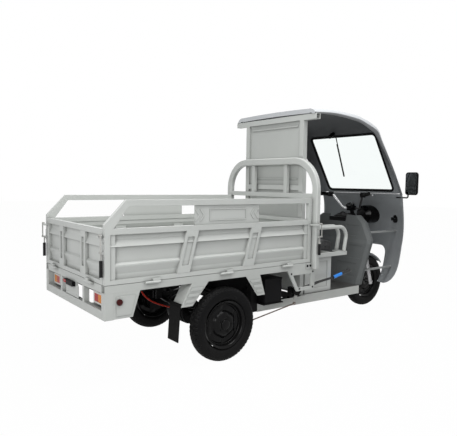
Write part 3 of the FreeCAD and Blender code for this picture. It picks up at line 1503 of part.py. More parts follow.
def wiper(roof_skins):
    """The motor under the roof, and the arm on its shaft outside."""
    out = SCREEN_OUT
    motor = Part.makeCylinder(38, 120, WIPER_PIVOT - out * 80 + ACROSS * 20, ACROSS)
    gear = Part.makeCylinder(20, 82, WIPER_PIVOT - out * 82, out)
    shaft = Part.makeCylinder(6, 60, WIPER_PIVOT - out * 44, out)
    housing = gear.fuse(motor)
    for skin in roof_skins:
        housing = largest(housing.cut(skin))
    subpart("wiper_motor", feature(housing.fuse(shaft)))
    swing = SCREEN_UP * -524 + ACROSS * 87
    along = swing.normalize()
    base = WIPER_PIVOT + out * 16
    boss = Part.makeCylinder(12, 14, base - out * 7, out)
    arm = Part.makeCylinder(5, 380, base, along)
    side = along.cross(out)
    start = WIPER_PIVOT + along * 130 + out * 5
    end = start + along * 394
    corners = [start + side * 5, start - side * 5, end - side * 5, end + side * 5]
    blade = Part.Face(Part.makePolygon(corners + [corners[0]])).extrude(out * 13)
    bore = Part.makeCylinder(6 + s.hinge_play, 60, WIPER_PIVOT - out * 44, out)
    subpart("wiper_arm", feature(boss.fuse(arm).fuse(blade).cut(bore)))


def mirrors():
    centre = Vector(2184, -612, 1318)
    half = 66
    tall = 110
    layers = [(0, 3), (8, 0), (26, 4), (40, 20)]
    wires = []
    for ahead, inset in layers:
        wires.append(upright_wire(centre.x + ahead, centre, half - inset, tall - inset, 24))
    shell = Part.makeLoft(wires, True, False)
    socket = Part.makeCylinder(STALK_RADIUS + s.hinge_play, 80 + SEAM, MIRROR_AT - Vector(0, 0, 80))
    right = subpart("right_mirror", feature(shell.cut(socket)))
    left_of("left_mirror", right)


def parking_brake():
    """The hand lever on its bracket, and the rod from its foot to the rear brake."""
    y = LEVER_Y
    outline = [(828, 386), (790, 306), (796, 290), (812, 292), (856, 388), (1110, 440), (1300, 462),
               (1298, 478), (1100, 458), (850, 416), (832, 410)]
    blade = plate("XZ", [outline], -y - 6, 12.0)
    sleeve_end = Vector(1400, y, 490)
    sleeve = strut(Vector(1290, y, 468), sleeve_end, 14.0)
    grip = feature(Part.makeCone(14, 21, 110, sleeve_end, Vector(110, 0, 22)))
    bore = rod("y", 7.0 + s.hinge_play, (y - 37, y + 43), LEVER_PIVOT)
    pin = rod("y", 5.0, (y - 19, y + 7), ROD_PIN)
    subpart("parking_lever", cut(fuse(blade, sleeve, grip), bore), pin)
    eye_bore = rod("y", 5.0 + s.hinge_play, (y - 22, y - 2), ROD_PIN)
    eye = cut(rod("y", 11.0, (y - 18, y - 7), ROD_PIN), eye_bore)
    elbow = Vector(s.tyre_radius + 90, (s.tyre_width - s.rear_track) / 2 + 27, 227)
    front = strut(Vector(794, y - 12.5, 298.6), elbow, 5.0)
    rear = strut(elbow, Vector(20, elbow.y, 170), 5.0)
    knee = feature(Part.makeSphere(5, elbow))
    subpart("brake_rod", eye, front, knee, rear)


def build():
    rear_wheels()
    front_wheel()
    chassis_frame()
    cargo_bed()
    rear_lamp_frame()
    rear_lamps()
    side_plates()
    mud_flaps()
    battery_box()
    side_gate()
    tailgate()
    latches()
    guard_hoop()
    cab_rear()
    skins = front_shell()
    windscreen()
    headlamp()
    cowl_stays(skins, leg_shield())
    dash_pod()
    floor_pan()
    seat()
    rear_axle()
    leaf_springs()
    motor_cable()
    fork()
    handlebar()
    mirrors()
    parking_brake()


def write_steps():
    """Checks every object and writes each sub-part to its own file."""
    doc.recompute()
    failed = [obj.Label for obj in doc.Objects if "Invalid" in obj.State or "Error" in obj.State]
    failed += [piece.Label for piece in subparts if piece.Shape.isNull() or not piece.Shape.isValid()]
    if failed:
        raise RuntimeError("failed: " + ", ".join(failed))
    os.makedirs("parts", exist_ok=True)
    for piece in subparts:
        piece.Shape.exportStep("parts/%s.step" % piece.Label)


build()
write_steps()
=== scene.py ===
"""The looks of an electric cargo tricycle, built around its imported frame. Lengths are metres."""
import json
import math

import bmesh
import bpy
import numpy as np
from mathutils import Matrix, Vector


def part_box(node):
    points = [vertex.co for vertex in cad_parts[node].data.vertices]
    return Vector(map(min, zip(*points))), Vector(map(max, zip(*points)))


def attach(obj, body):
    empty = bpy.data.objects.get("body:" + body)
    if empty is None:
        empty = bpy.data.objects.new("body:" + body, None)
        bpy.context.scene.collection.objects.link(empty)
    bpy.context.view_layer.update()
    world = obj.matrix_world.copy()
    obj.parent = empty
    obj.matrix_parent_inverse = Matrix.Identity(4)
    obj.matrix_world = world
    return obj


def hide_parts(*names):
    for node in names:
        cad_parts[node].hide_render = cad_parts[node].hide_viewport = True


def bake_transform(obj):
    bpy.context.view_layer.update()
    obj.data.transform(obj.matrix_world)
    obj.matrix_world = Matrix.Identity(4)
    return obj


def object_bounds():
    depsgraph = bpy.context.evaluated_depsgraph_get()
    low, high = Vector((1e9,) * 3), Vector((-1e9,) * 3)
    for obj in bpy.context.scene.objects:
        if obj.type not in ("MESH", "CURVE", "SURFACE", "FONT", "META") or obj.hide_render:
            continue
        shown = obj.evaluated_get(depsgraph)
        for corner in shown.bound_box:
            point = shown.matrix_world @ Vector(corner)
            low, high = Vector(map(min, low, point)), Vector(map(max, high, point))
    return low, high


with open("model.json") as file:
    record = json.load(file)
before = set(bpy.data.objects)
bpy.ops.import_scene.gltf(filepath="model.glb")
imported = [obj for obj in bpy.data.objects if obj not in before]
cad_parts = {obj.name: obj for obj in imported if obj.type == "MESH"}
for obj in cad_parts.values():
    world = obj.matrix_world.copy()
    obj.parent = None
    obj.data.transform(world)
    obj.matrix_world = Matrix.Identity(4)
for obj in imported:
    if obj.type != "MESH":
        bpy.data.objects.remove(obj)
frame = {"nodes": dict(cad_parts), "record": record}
CAD_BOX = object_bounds()
NODES = frame["nodes"]


def middle(node):
    """The centre of a node's box."""
    low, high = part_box(node)
    return (low + high) / 2


AXLE = middle("right_tyre")


def from_axle(x, y, z):
    """A point given from the rear axle's place on the ground, under the centre plane."""
    return Vector((AXLE.x + x, y, z))


# Camera, light and floor

IMAGE_WIDTH = 457
FOCAL_PIXELS = 504.587
SENSOR = 36.0
CAMERA_AT = from_axle(-2.17303, -3.43075, 1.29517)
YAW = 0.9197133
PITCH = -0.0687182
ROLL = 0.0153905
FILL_STRENGTH = 0.38
FLOOR_RADIUS = 30.0
FLOOR_DROP = 0.001
FLOOR_GLOW = 0.985
# name, place, target, size and watts
LAMPS = (
    ("overhead", (-0.6, -1.5, 5.2), (-0.1, 0.0, 0.6), 2.6, 200.0),
    ("rear_side", (-4.6, -3.0, 2.2), (0.0, 0.0, 0.7), 3.0, 120.0),
    ("far_side", (2.6, 4.6, 3.2), (0.2, 0.0, 0.8), 3.0, 60.0),
)


def make_camera():
    """A camera at the photograph's place: yaw from +X to +Y, then pitch, then roll about the view line."""
    level = math.cos(PITCH)
    forward = Vector((level * math.cos(YAW), level * math.sin(YAW), math.sin(PITCH)))
    right = Vector((math.sin(YAW), -math.cos(YAW), 0.0))
    up = right.cross(forward)
    rolled = right * math.cos(ROLL) + up * math.sin(ROLL)
    lifted = up * math.cos(ROLL) - right * math.sin(ROLL)
    data = bpy.data.cameras.new("camera")
    data.sensor_width = SENSOR
    data.lens = FOCAL_PIXELS / IMAGE_WIDTH * SENSOR
    camera = bpy.data.objects.new("camera", data)
    turn = Matrix((rolled, lifted, -forward)).transposed()
    camera.matrix_world = Matrix.Translation(CAMERA_AT) @ turn.to_4x4()
    bpy.context.scene.collection.objects.link(camera)
    bpy.context.scene.camera = camera


def seen_rays(tree):
    """One where a ray comes from the camera, a reflection or a pane, else zero."""
    path = tree.nodes.new("ShaderNodeLightPath")
    direct = link_math(tree, "MAXIMUM", path.outputs["Is Camera Ray"], path.outputs["Is Glossy Ray"])
    return link_math(tree, "MAXIMUM", direct, path.outputs["Is Transmission Ray"])


def make_world():
    """White where it is seen, and a soft fill light elsewhere."""
    world = bpy.data.worlds.new("studio")
    bpy.context.scene.world = world
    world.use_nodes = True
    tree = world.node_tree
    tree.nodes.clear()
    shown = tree.nodes.new("ShaderNodeBackground")
    shown.inputs["Color"].default_value = (1.0, 1.0, 1.0, 1.0)
    fill = tree.nodes.new("ShaderNodeBackground")
    fill.inputs["Color"].default_value = (0.96, 0.98, 1.0, 1.0)
    fill.inputs["Strength"].default_value = FILL_STRENGTH
    mix = tree.nodes.new("ShaderNodeMixShader")
    out = tree.nodes.new("ShaderNodeOutputWorld")
    tree.links.new(seen_rays(tree), mix.inputs["Fac"])
    tree.links.new(fill.outputs[0], mix.inputs[1])
    tree.links.new(shown.outputs[0], mix.inputs[2])
    tree.links.new(mix.outputs[0], out.inputs["Surface"])


def make_lamp(name, place, target, size, power):
    """A round soft lamp at a place, aimed at a target."""
    data = bpy.data.lights.new(name, "AREA")
    data.shape = "DISK"
    data.size = size
    data.energy = power
    lamp = bpy.data.objects.new(name, data)
    aim = (Vector(target) - Vector(place)).to_track_quat("-Z", "Y")
    lamp.matrix_world = Matrix.Translation(place) @ aim.to_matrix().to_4x4()
    bpy.context.scene.collection.objects.link(lamp)


def make_floor():
    """A wide pale disc just under the wheels, nearly white to the eye and still shaded by the vehicle."""
    count = 64
    steps = np.linspace(0.0, 2 * np.pi, count, endpoint=False)
    height = np.full(count, CAD_BOX[0].z - FLOOR_DROP)
    rim = np.stack([FLOOR_RADIUS * np.cos(steps), FLOOR_RADIUS * np.sin(steps), height], 1)
    mesh = bpy.data.meshes.new("floor")
    mesh.from_pydata(rim.tolist(), [], [list(range(count))])
    floor = bpy.data.objects.new("floor", mesh)
    bpy.context.scene.collection.objects.link(floor)
    material = bpy.data.materials.new("floor")
    material.use_nodes = True
    tree = material.node_tree
    tree.nodes.clear()
    matte = tree.nodes.new("ShaderNodeBsdfDiffuse")
    matte.inputs["Color"].default_value = (0.55, 0.55, 0.55, 1.0)
    glow = tree.nodes.new("ShaderNodeEmission")
    mix = tree.nodes.new("ShaderNodeMixShader")
    out = tree.nodes.new("ShaderNodeOutputMaterial")
    tree.links.new(link_math(tree, "MULTIPLY", seen_rays(tree), FLOOR_GLOW), mix.inputs["Fac"])
    tree.links.new(matte.outputs[0], mix.inputs[1])
    tree.links.new(glow.outputs[0], mix.inputs[2])
    tree.links.new(mix.outputs[0], out.inputs["Surface"])
    mesh.materials.append(material)


def make_stage():
    """The camera, the world, three lamps and the floor."""
    bpy.context.scene.view_settings.view_transform = "Standard"
    make_camera()
    make_world()
    for lamp in LAMPS:
        make_lamp(*lamp)
    make_floor()


# Shared shader effects

def new_group(name, inputs, outputs):
    """An empty node group with float inputs (name, default) and outputs (name, socket kind)."""
    group = bpy.data.node_groups.new(name, "ShaderNodeTree")
    for label, value in inputs:
        group.interface.new_socket(label, in_out="INPUT", socket_type="NodeSocketFloat").default_value = value
    for label, kind in outputs:
        group.interface.new_socket(label, in_out="OUTPUT", socket_type=kind)
    return group, group.nodes.new("NodeGroupInput"), group.nodes.new("NodeGroupOutput")


def link_math(tree, operation, *values):
    """A math node on sockets or numbers, with its result held from 0 to 1."""
    node = tree.nodes.new("ShaderNodeMath")
    node.operation = operation
    node.use_clamp = True
    for index, value in enumerate(values):
        if isinstance(value, (int, float)):
            node.inputs[index].default_value = value
        else:
            tree.links.new(value, node.inputs[index])
    return node.outputs[0]


def own_place(tree, socket):
    """Feeds the piece's own coordinates to a socket."""
    tree.links.new(tree.nodes.new("ShaderNodeTexCoord").outputs["Object"], socket)


def noise(tree, scale, detail=4.0, stretch=(1.0, 1.0, 1.0)):
    """Noise on the piece's own coordinates; stretch squeezes it along an axis."""
    bend = tree.nodes.new("ShaderNodeMapping")
    bend.inputs["Scale"].default_value = stretch
    field = tree.nodes.new("ShaderNodeTexNoise")
    field.inputs["Detail"].default_value = detail
    own_place(tree, bend.inputs["Vector"])
    tree.links.new(bend.outputs[0], field.inputs["Vector"])
    if isinstance(scale, (int, float)):
        field.inputs["Scale"].default_value = scale
    else:
        tree.links.new(scale, field.inputs["Scale"])
    return field.outputs["Fac"]


def edge_group():
    """Edges worn by handling: where the rounded normal leaves the true one, broken up by noise."""
    group, given, result = new_group("worn_edges", [("Radius", 0.003), ("Break", 60.0)],
                                     [("Mask", "NodeSocketFloat"), ("Normal", "NodeSocketVector")])
    soft = group.nodes.new("ShaderNodeBevel")
    soft.samples = 6
    group.links.new(given.outputs["Radius"], soft.inputs["Radius"])
    true = group.nodes.new("ShaderNodeNewGeometry")
    dot = group.nodes.new("ShaderNodeVectorMath")
    dot.operation = "DOT_PRODUCT"
    group.links.new(soft.outputs[0], dot.inputs[0])
    group.links.new(true.outputs["True Normal"], dot.inputs[1])
    lost = link_math(group, "SUBTRACT", 1.0, dot.outputs["Value"])
    edge = link_math(group, "MULTIPLY", lost, 5.0)
    patchy = link_math(group, "SUBTRACT", noise(group, given.outputs["Break"]), 0.42)
    strong = link_math(group, "MULTIPLY", patchy, 4.0)
    group.links.new(link_math(group, "MULTIPLY", edge, strong), result.inputs["Mask"])
    group.links.new(soft.outputs[0], result.inputs["Normal"])
    return group


def grime_group():
    """Road dust: dense at the ground, fading out with height, in cloudy patches."""
    group, given, result = new_group("road_dust", [("Reach", 0.7), ("Amount", 0.5)],
                                     [("Mask", "NodeSocketFloat")])
    split = group.nodes.new("ShaderNodeSeparateXYZ")
    own_place(group, split.inputs[0])
    level = link_math(group, "DIVIDE", split.outputs["Z"], given.outputs["Reach"])
    low = link_math(group, "SUBTRACT", 1.0, level)
    cloud = link_math(group, "MULTIPLY", noise(group, 9.0, 6.0), 1.3)
    patches = link_math(group, "MULTIPLY", low, cloud)
    amount = link_math(group, "MULTIPLY", patches, given.outputs["Amount"])
    group.links.new(amount, result.inputs["Mask"])
    return group


def grain_group():
    """A fine height field of two noises: soft waves and a small grain."""
    group, given, result = new_group("fine_grain", [("Waves", 14.0), ("Grain", 420.0), ("Share", 0.5)],
                                     [("Height", "NodeSocketFloat"), ("Cloud", "NodeSocketFloat")])
    waves = noise(group, given.outputs["Waves"], 2.0)
    grain = noise(group, given.outputs["Grain"], 2.0)
    part = link_math(group, "MULTIPLY", grain, given.outputs["Share"])
    rest = link_math(group, "MULTIPLY", waves, link_math(group, "SUBTRACT", 1.0, given.outputs["Share"]))
    group.links.new(link_math(group, "ADD", part, rest), result.inputs["Height"])
    group.links.new(waves, result.inputs["Cloud"])
    return group


def painted_shade_group():
    """Painted shade for corners that little light reaches: a mask of what near surfaces hide, within a short
    reach.
    """
    group, given, result = new_group("painted_crevice_shade", [("Reach", 0.04), ("Amount", 0.6)],
                                     [("Mask", "NodeSocketFloat")])
    near = group.nodes.new("ShaderNodeAmbientOcclusion")
    near.samples = 8
    group.links.new(given.outputs["Reach"], near.inputs["Distance"])
    hidden = link_math(group, "SUBTRACT", 1.0, near.outputs["AO"])
    group.links.new(link_math(group, "MULTIPLY", hidden, given.outputs["Amount"]), result.inputs["Mask"])
    return group


EDGES = edge_group()
DUST = grime_group()
PAINTED_CREVICE_SHADE = painted_shade_group()
GRAIN = grain_group()
DUST_COLOUR = (0.30, 0.28, 0.25)
# the dark colour of the painted shade in seams and corners
PAINTED_SHADE_COLOUR = (0.05, 0.05, 0.047)
DUST_ROUGHNESS = 0.3
CLOUD_ROUGHNESS = 0.12


class Finish:
    """A material being put together around one Principled shader."""

    def __init__(self, name, colour, roughness, metallic=0.0, coat=0.0, shine=0.5):
        self.material = bpy.data.materials.new(name)
        self.material.use_nodes = True
        self.tree = self.material.node_tree
        self.shader = self.tree.nodes["Principled BSDF"]
        self.shader.inputs["Metallic"].default_value = metallic
        self.shader.inputs["Coat Weight"].default_value = coat
        self.shader.inputs["Specular IOR Level"].default_value = shine
        self.colour = self.value(colour)
        self.rough = roughness
        self.normal = None

    def value(self, colour):
        """A colour as a socket."""
        node = self.tree.nodes.new("ShaderNodeRGB")
        node.outputs[0].default_value = (*colour, 1.0)
        return node.outputs[0]

    def group(self, tree, **values):
        """One of the shared effects, with its inputs set."""
        node = self.tree.nodes.new("ShaderNodeGroup")
        node.node_tree = tree
        for label, number in values.items():
            node.inputs[label].default_value = number
        return node

    def mix(self, mask, colour, blend="MIX"):
        """Blends a colour over what is there, by a mask."""
        node = self.tree.nodes.new("ShaderNodeMix")
        node.data_type = "RGBA"
        node.blend_type = blend
        self.tree.links.new(mask, node.inputs["Factor"])
        self.tree.links.new(self.colour, node.inputs["A"])
        self.tree.links.new(self.value(colour), node.inputs["B"])
        self.colour = node.outputs["Result"]

    def rougher(self, mask, amount):
        """Adds to the roughness by a mask."""
        self.rough = link_math(self.tree, "ADD", self.rough, link_math(self.tree, "MULTIPLY", mask, amount))

    def bump(self, height, strength, distance=0.001):
        """Raises the surface by a height, over what is there."""
        node = self.tree.nodes.new("ShaderNodeBump")
        node.inputs["Strength"].default_value = strength
        node.inputs["Distance"].default_value = distance
        self.tree.links.new(height, node.inputs["Height"])
        if self.normal is not None:
            self.tree.links.new(self.normal, node.inputs["Normal"])
        self.normal = node.outputs[0]

    def worn(self, colour, radius=0.003, scale=60.0, share=1.0):
        """Rounds the edges and lets a colour show where they are rubbed."""
        edge = self.group(EDGES, Radius=radius, Break=scale)
        self.normal = edge.outputs["Normal"]
        self.mix(link_math(self.tree, "MULTIPLY", edge.outputs["Mask"], share), colour)

    def grained(self, waves, grain, share, strength, shade=0.9):
        """Surface grain with a cloudy change of colour."""
        field = self.group(GRAIN, Waves=waves, Grain=grain, Share=share)
        self.rougher(field.outputs["Cloud"], CLOUD_ROUGHNESS)
        self.mix(field.outputs["Cloud"], (shade, shade, shade), "MULTIPLY")
        self.bump(field.outputs["Height"], strength)

    def shaded(self, reach, amount):
        """Paints shade into inner corners and seams: a dark colour where near surfaces hide the light."""
        corner = self.group(PAINTED_CREVICE_SHADE, Reach=reach, Amount=amount)
        self.mix(corner.outputs["Mask"], PAINTED_SHADE_COLOUR)

    def dusty(self, reach, amount):
        """Lays road dust on the lower parts."""
        dust = self.group(DUST, Reach=reach, Amount=amount)
        self.mix(dust.outputs["Mask"], DUST_COLOUR)
        self.rougher(dust.outputs["Mask"], DUST_ROUGHNESS)

    def ramp(self, value, edge, soft, above=True):
        """A mask that turns from zero to one, or back, as a value passes an edge."""
        node = self.tree.nodes.new("ShaderNodeMapRange")
        node.inputs["From Min"].default_value = edge - soft
        node.inputs["From Max"].default_value = edge + soft
        node.inputs["To Min"].default_value = 0.0 if above else 1.0
        node.inputs["To Max"].default_value = 1.0 if above else 0.0
        self.tree.links.new(value, node.inputs["Value"])
        return node.outputs[0]

    def beyond(self, axis, edge, soft=0.002, above=True):
        """A mask that is one past a plane across one of the piece's own axes."""
        split = self.tree.nodes.new("ShaderNodeSeparateXYZ")
        own_place(self.tree, split.inputs[0])
        return self.ramp(split.outputs[axis], edge, soft, above)

    def beside(self, edge, soft=0.002):
        """A mask that is one further from the centre plane than an edge, on both sides."""
        left = self.beyond("Y", edge, soft)
        right = self.beyond("Y", -edge, soft, above=False)
        return link_math(self.tree, "MAXIMUM", left, right)

    def splayed(self, degrees, edge, soft=0.001):
        """A mask that is one past a plane turned outward by an angle, alike on both sides."""
        turn = math.radians(degrees)
        folded = self.tree.nodes.new("ShaderNodeVectorMath")
        folded.operation = "ABSOLUTE"
        along = self.tree.nodes.new("ShaderNodeVectorMath")
        along.operation = "DOT_PRODUCT"
        along.inputs[1].default_value = (math.cos(turn), math.sin(turn), 0.0)
        own_place(self.tree, folded.inputs[0])
        self.tree.links.new(folded.outputs[0], along.inputs[0])
        return self.ramp(along.outputs["Value"], edge, soft)

    def both(self, first, second):
        """A mask that is one where two masks are."""
        return link_math(self.tree, "MULTIPLY", first, second)

    def done(self):
        """Joins what was built to the shader."""
        self.tree.links.new(self.colour, self.shader.inputs["Base Color"])
        if isinstance(self.rough, (int, float)):
            self.shader.inputs["Roughness"].default_value = self.rough
        else:
            self.tree.links.new(self.rough, self.shader.inputs["Roughness"])
        if self.normal is not None:
            self.tree.links.new(self.normal, self.shader.inputs["Normal"])
        return self.material


# Finishes

LIGHT_GREY = (0.50, 0.515, 0.495)
COOL_GREY = (0.46, 0.475, 0.455)
PRIMER = (0.22, 0.21, 0.20)
LINING_GREY = (0.30, 0.315, 0.325)
# dark grey above the screen's foot: partly the roof lining's own colour, partly painted shade under the roof;
# also used for the shell's rubber trim
ROOF_LINING_AND_SHADE = (0.11, 0.114, 0.118)
SHIELD_GREY = (0.12, 0.127, 0.127)
BLACK = (0.006, 0.006, 0.0065)
ZINC = (0.42, 0.42, 0.40)
TRIM_WIDTH = 0.0055
LATCH_GRIP = 0.104
BRIGHT_BAR = (0.02, 0.205)
MAT_DEPTH = 0.0045
SCREEN_FOOT = 1.36
LINING_SHADE_FADE = 0.22


def satin_paint(name, colour, roughness=0.36):
    """Sprayed paint: faint orange peel, cloudy tone, rubbed edges, painted shade in corners and seams, and
    dust low down.
    """
    finish = Finish(name, colour, roughness, coat=0.15, shine=0.4)
    finish.worn(PRIMER, radius=0.0025, scale=40.0, share=0.3)
    finish.grained(waves=5.0, grain=260.0, share=0.7, strength=0.10, shade=0.92)
    # painted shade: a dark colour laid into seams and corners where ambient occlusion finds near surfaces
    finish.shaded(reach=0.03, amount=0.8)
    finish.dusty(reach=0.5, amount=0.15)
    return finish.done()


def black_paint(name, roughness=0.32, shine=0.06):
    """Black enamel, rubbed at the edges."""
    finish = Finish(name, (0.004, 0.004, 0.0043), roughness, shine=shine)
    finish.worn((0.03, 0.029, 0.027), radius=0.002, scale=70.0, share=0.5)
    finish.grained(waves=8.0, grain=300.0, share=0.6, strength=0.12, shade=0.8)
    finish.dusty(reach=0.6, amount=0.01)
    return finish.done()


def moulded(name, colour, roughness, grain=900.0, strength=0.25, shine=0.06):
    """Moulded plastic with an even grain."""
    finish = Finish(name, colour, roughness, shine=shine)
    finish.worn(tuple(part * 1.7 + 0.006 for part in colour), radius=0.003, scale=30.0, share=0.5)
    finish.grained(waves=4.0, grain=grain, share=0.8, strength=strength, shade=0.86)
    finish.dusty(reach=0.6, amount=0.012)
    return finish.done()


def gloss_shell():
    """Silver gel coat with a dark rubber trim along both side edges."""
    finish = Finish("cab_shell_gloss", (0.52, 0.535, 0.55), 0.3, coat=0.1, shine=0.3)
    finish.worn((0.45, 0.45, 0.45), radius=0.0012, scale=30.0, share=0.2)
    finish.grained(waves=3.0, grain=1500.0, share=0.5, strength=0.06, shade=0.94)
    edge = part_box("roof_panel")[1].y - TRIM_WIDTH
    finish.mix(finish.beside(edge, 0.0008), ROOF_LINING_AND_SHADE)
    return finish.done()


def tyre_rubber():
    """Matt rubber, paler on the worn edges of its tread."""
    finish = Finish("tyre_rubber", (0.005, 0.005, 0.0053), 0.5, shine=0.07)
    finish.worn((0.03, 0.029, 0.027), radius=0.002, scale=80.0, share=0.7)
    finish.grained(waves=30.0, grain=700.0, share=0.7, strength=0.3, shade=0.8)
    finish.dusty(reach=0.3, amount=0.02)
    return finish.done()


def brushed(name, colour, roughness, stretch):
    """Bare metal with a drawn grain along one axis."""
    finish = Finish(name, colour, roughness, metallic=1.0)
    finish.worn((0.75, 0.75, 0.74), radius=0.002, scale=90.0, share=0.6)
    lines = noise(finish.tree, 40.0, 3.0, stretch)
    finish.rougher(lines, 0.25)
    finish.bump(lines, 0.12)
    finish.dusty(reach=0.6, amount=0.3)
    return finish.done()


def ribbed(finish):
    """Presses fine level ribs and a faint cloud into a lamp moulding."""
    wave = finish.tree.nodes.new("ShaderNodeTexWave")
    wave.inputs["Scale"].default_value = 70.0
    wave.bands_direction = "Z"
    own_place(finish.tree, wave.inputs["Vector"])
    finish.bump(wave.outputs["Fac"], 0.25, 0.0015)
    finish.grained(waves=20.0, grain=500.0, share=0.5, strength=0.05, shade=0.8)
    return finish.done()


AMBER = (0.62, 0.20, 0.015)
RED = (0.36, 0.010, 0.008)
REFLECTOR_RED = (0.05, 0.004, 0.004)
LAMP_RIM = (0.62, 0.60, 0.57)
LAMP_CELLS = (0.521, 0.574)
RED_FROM = 0.332
AMBER_FROM = 0.392
RIM_FROM = 0.444
REFLECTORS_FROM = 0.53
PLATE_STRIP = 0.02
INDICATORS_FROM = 0.2
INDICATOR_SPLAY = 28.0
INDICATOR_FACE = 1.527


def rear_lens():
    """Tail lamps with a pale rim, a red inner cell and an amber outer one, a red strip on the plate lamp, and
    small dark reflectors at the sides."""
    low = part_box("rear_lenses")[0]
    finish = Finish("rear_lamp_mouldings", LAMP_RIM, 0.2, coat=0.05, shine=0.15)
    bottom, top = LAMP_CELLS
    inside = finish.both(finish.beyond("Z", bottom), finish.beyond("Z", top, above=False))
    inside = finish.both(inside, finish.beside(RED_FROM))
    finish.mix(inside, RED)
    finish.mix(finish.both(inside, finish.beside(AMBER_FROM)), AMBER)
    finish.mix(finish.both(inside, finish.beside(RIM_FROM)), LAMP_RIM)
    finish.mix(finish.beyond("X", low.x + PLATE_STRIP, above=False), RED)
    finish.mix(finish.beside(REFLECTORS_FROM), REFLECTOR_RED)
    return ribbed(finish)


def front_lens():
    """A clear lamp glass, and amber indicators with black backs."""
    finish = Finish("front_lamp_mouldings", (0.80, 0.80, 0.78), 0.15, coat=0.15, shine=0.25)
    beside = finish.beside(INDICATORS_FROM)
    finish.mix(beside, BLACK)
    finish.mix(finish.both(beside, finish.splayed(INDICATOR_SPLAY, INDICATOR_FACE)), AMBER)
    return ribbed(finish)


def clear_pane():
    """Thin clear glass with faint smears."""
    finish = Finish("clear_pane", (0.93, 0.97, 0.96), 0.02)
    finish.shader.inputs["Transmission Weight"].default_value = 1.0
    finish.shader.inputs["IOR"].default_value = 1.08
    smear = noise(finish.tree, 6.0, 5.0)
    finish.rough = link_math(finish.tree, "MULTIPLY", smear, 0.006)
    return finish.done()


def vinyl():
    """Coated cloth: a pebbled grain with darker pores."""
    finish = Finish("seat_vinyl", (0.02, 0.02, 0.021), 0.42)
    cells = finish.tree.nodes.new("ShaderNodeTexVoronoi")
    cells.inputs["Scale"].default_value = 420.0
    own_place(finish.tree, cells.inputs["Vector"])
    finish.bump(cells.outputs["Distance"], 0.35, 0.0006)
    finish.grained(waves=10.0, grain=250.0, share=0.4, strength=0.12, shade=0.75)
    finish.shader.inputs["Sheen Weight"].default_value = 0.08
    return finish.done()


def latch_finish():
    """Zinc-plated lever with a black dipped grip."""
    finish = Finish("latch_lever_finish", ZINC, 0.42, shine=0.15)
    finish.grained(waves=25.0, grain=400.0, share=0.5, strength=0.15, shade=0.8)
    finish.mix(finish.beyond("Z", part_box("right_tail_latch_lever")[0].z + LATCH_GRIP, above=False), BLACK)
    return finish.done()


PARKING_ARM_TOP = 0.42
SLEEVE = (1.295, 1.402)
SLEEVE_BLUE = (0.015, 0.22, 0.72)


def parking_finish():
    """Black lever with a blue sleeve below the grip and a plated lower arm."""
    finish = Finish("parking_lever_finish", BLACK, 0.4)
    finish.worn((0.06, 0.06, 0.06), radius=0.002, scale=60.0, share=0.6)
    rear, front = SLEEVE
    sleeve = finish.both(finish.beyond("X", AXLE.x + rear), finish.beyond("X", AXLE.x + front, above=False))
    finish.mix(sleeve, SLEEVE_BLUE)
    finish.mix(finish.beyond("Z", PARKING_ARM_TOP, above=False), ZINC)
    finish.grained(waves=20.0, grain=500.0, share=0.5, strength=0.12, shade=0.85)
    return finish.done()


def handlebar_finish():
    """A bright left half and a black right half, with black fittings near the grips."""
    finish = Finish("handlebar_finish", (0.78, 0.78, 0.79), 0.14, metallic=1.0)
    inner, outer = BRIGHT_BAR
    right = finish.beyond("Y", inner, above=False)
    black = link_math(finish.tree, "MAXIMUM", right, finish.beyond("Y", outer))
    finish.mix(black, BLACK)
    finish.tree.links.new(link_math(finish.tree, "SUBTRACT", 1.0, black), finish.shader.inputs["Metallic"])
    finish.rougher(black, 0.3)
    finish.grained(waves=30.0, grain=600.0, share=0.5, strength=0.06, shade=0.9)
    return finish.done()


def floor_finish():
    """Painted sheet with a black mat on its raised field."""
    finish = Finish("floor_finish", COOL_GREY, 0.4, coat=0.2)
    finish.worn(PRIMER, radius=0.0025, scale=40.0, share=0.4)
    finish.mix(finish.beyond("Z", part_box("floor_pan")[1].z - MAT_DEPTH, 0.0005), (0.02, 0.02, 0.02))
    finish.grained(waves=6.0, grain=300.0, share=0.7, strength=0.12, shade=0.9)
    finish.dusty(reach=0.5, amount=0.35)
    return finish.done()


STALKS_FROM = 1.1


def stay_finish():
    """Grey painted stays, with the mirrors' stalks above them in black."""
    finish = Finish("stay_finish", (0.30, 0.31, 0.305), 0.4, shine=0.2)
    finish.worn(PRIMER, radius=0.002, scale=50.0, share=0.4)
    finish.mix(finish.beyond("Z", STALKS_FROM), BLACK)
    finish.grained(waves=12.0, grain=300.0, share=0.6, strength=0.1, shade=0.85)
    finish.dusty(reach=0.5, amount=0.1)
    return finish.done()


def lining_finish():
    """Grained moulding, pale in the cowl and darker from the screen's foot up to the roof: partly the roof
    lining's own darker colour, partly painted shade under the roof.
    """
    finish = Finish("cab_lining_moulding", LINING_GREY, 0.5, shine=0.06)
    finish.worn((0.40, 0.41, 0.42), radius=0.003, scale=30.0, share=0.5)
    # painted shade under the roof, blended with the roof lining's own darker grey, fading in from the
    # screen's foot up
    finish.mix(finish.beyond("Z", SCREEN_FOOT, LINING_SHADE_FADE), ROOF_LINING_AND_SHADE)
    finish.grained(waves=4.0, grain=1100.0, share=0.8, strength=0.2, shade=0.86)
    finish.dusty(reach=0.6, amount=0.012)
    return finish.done()


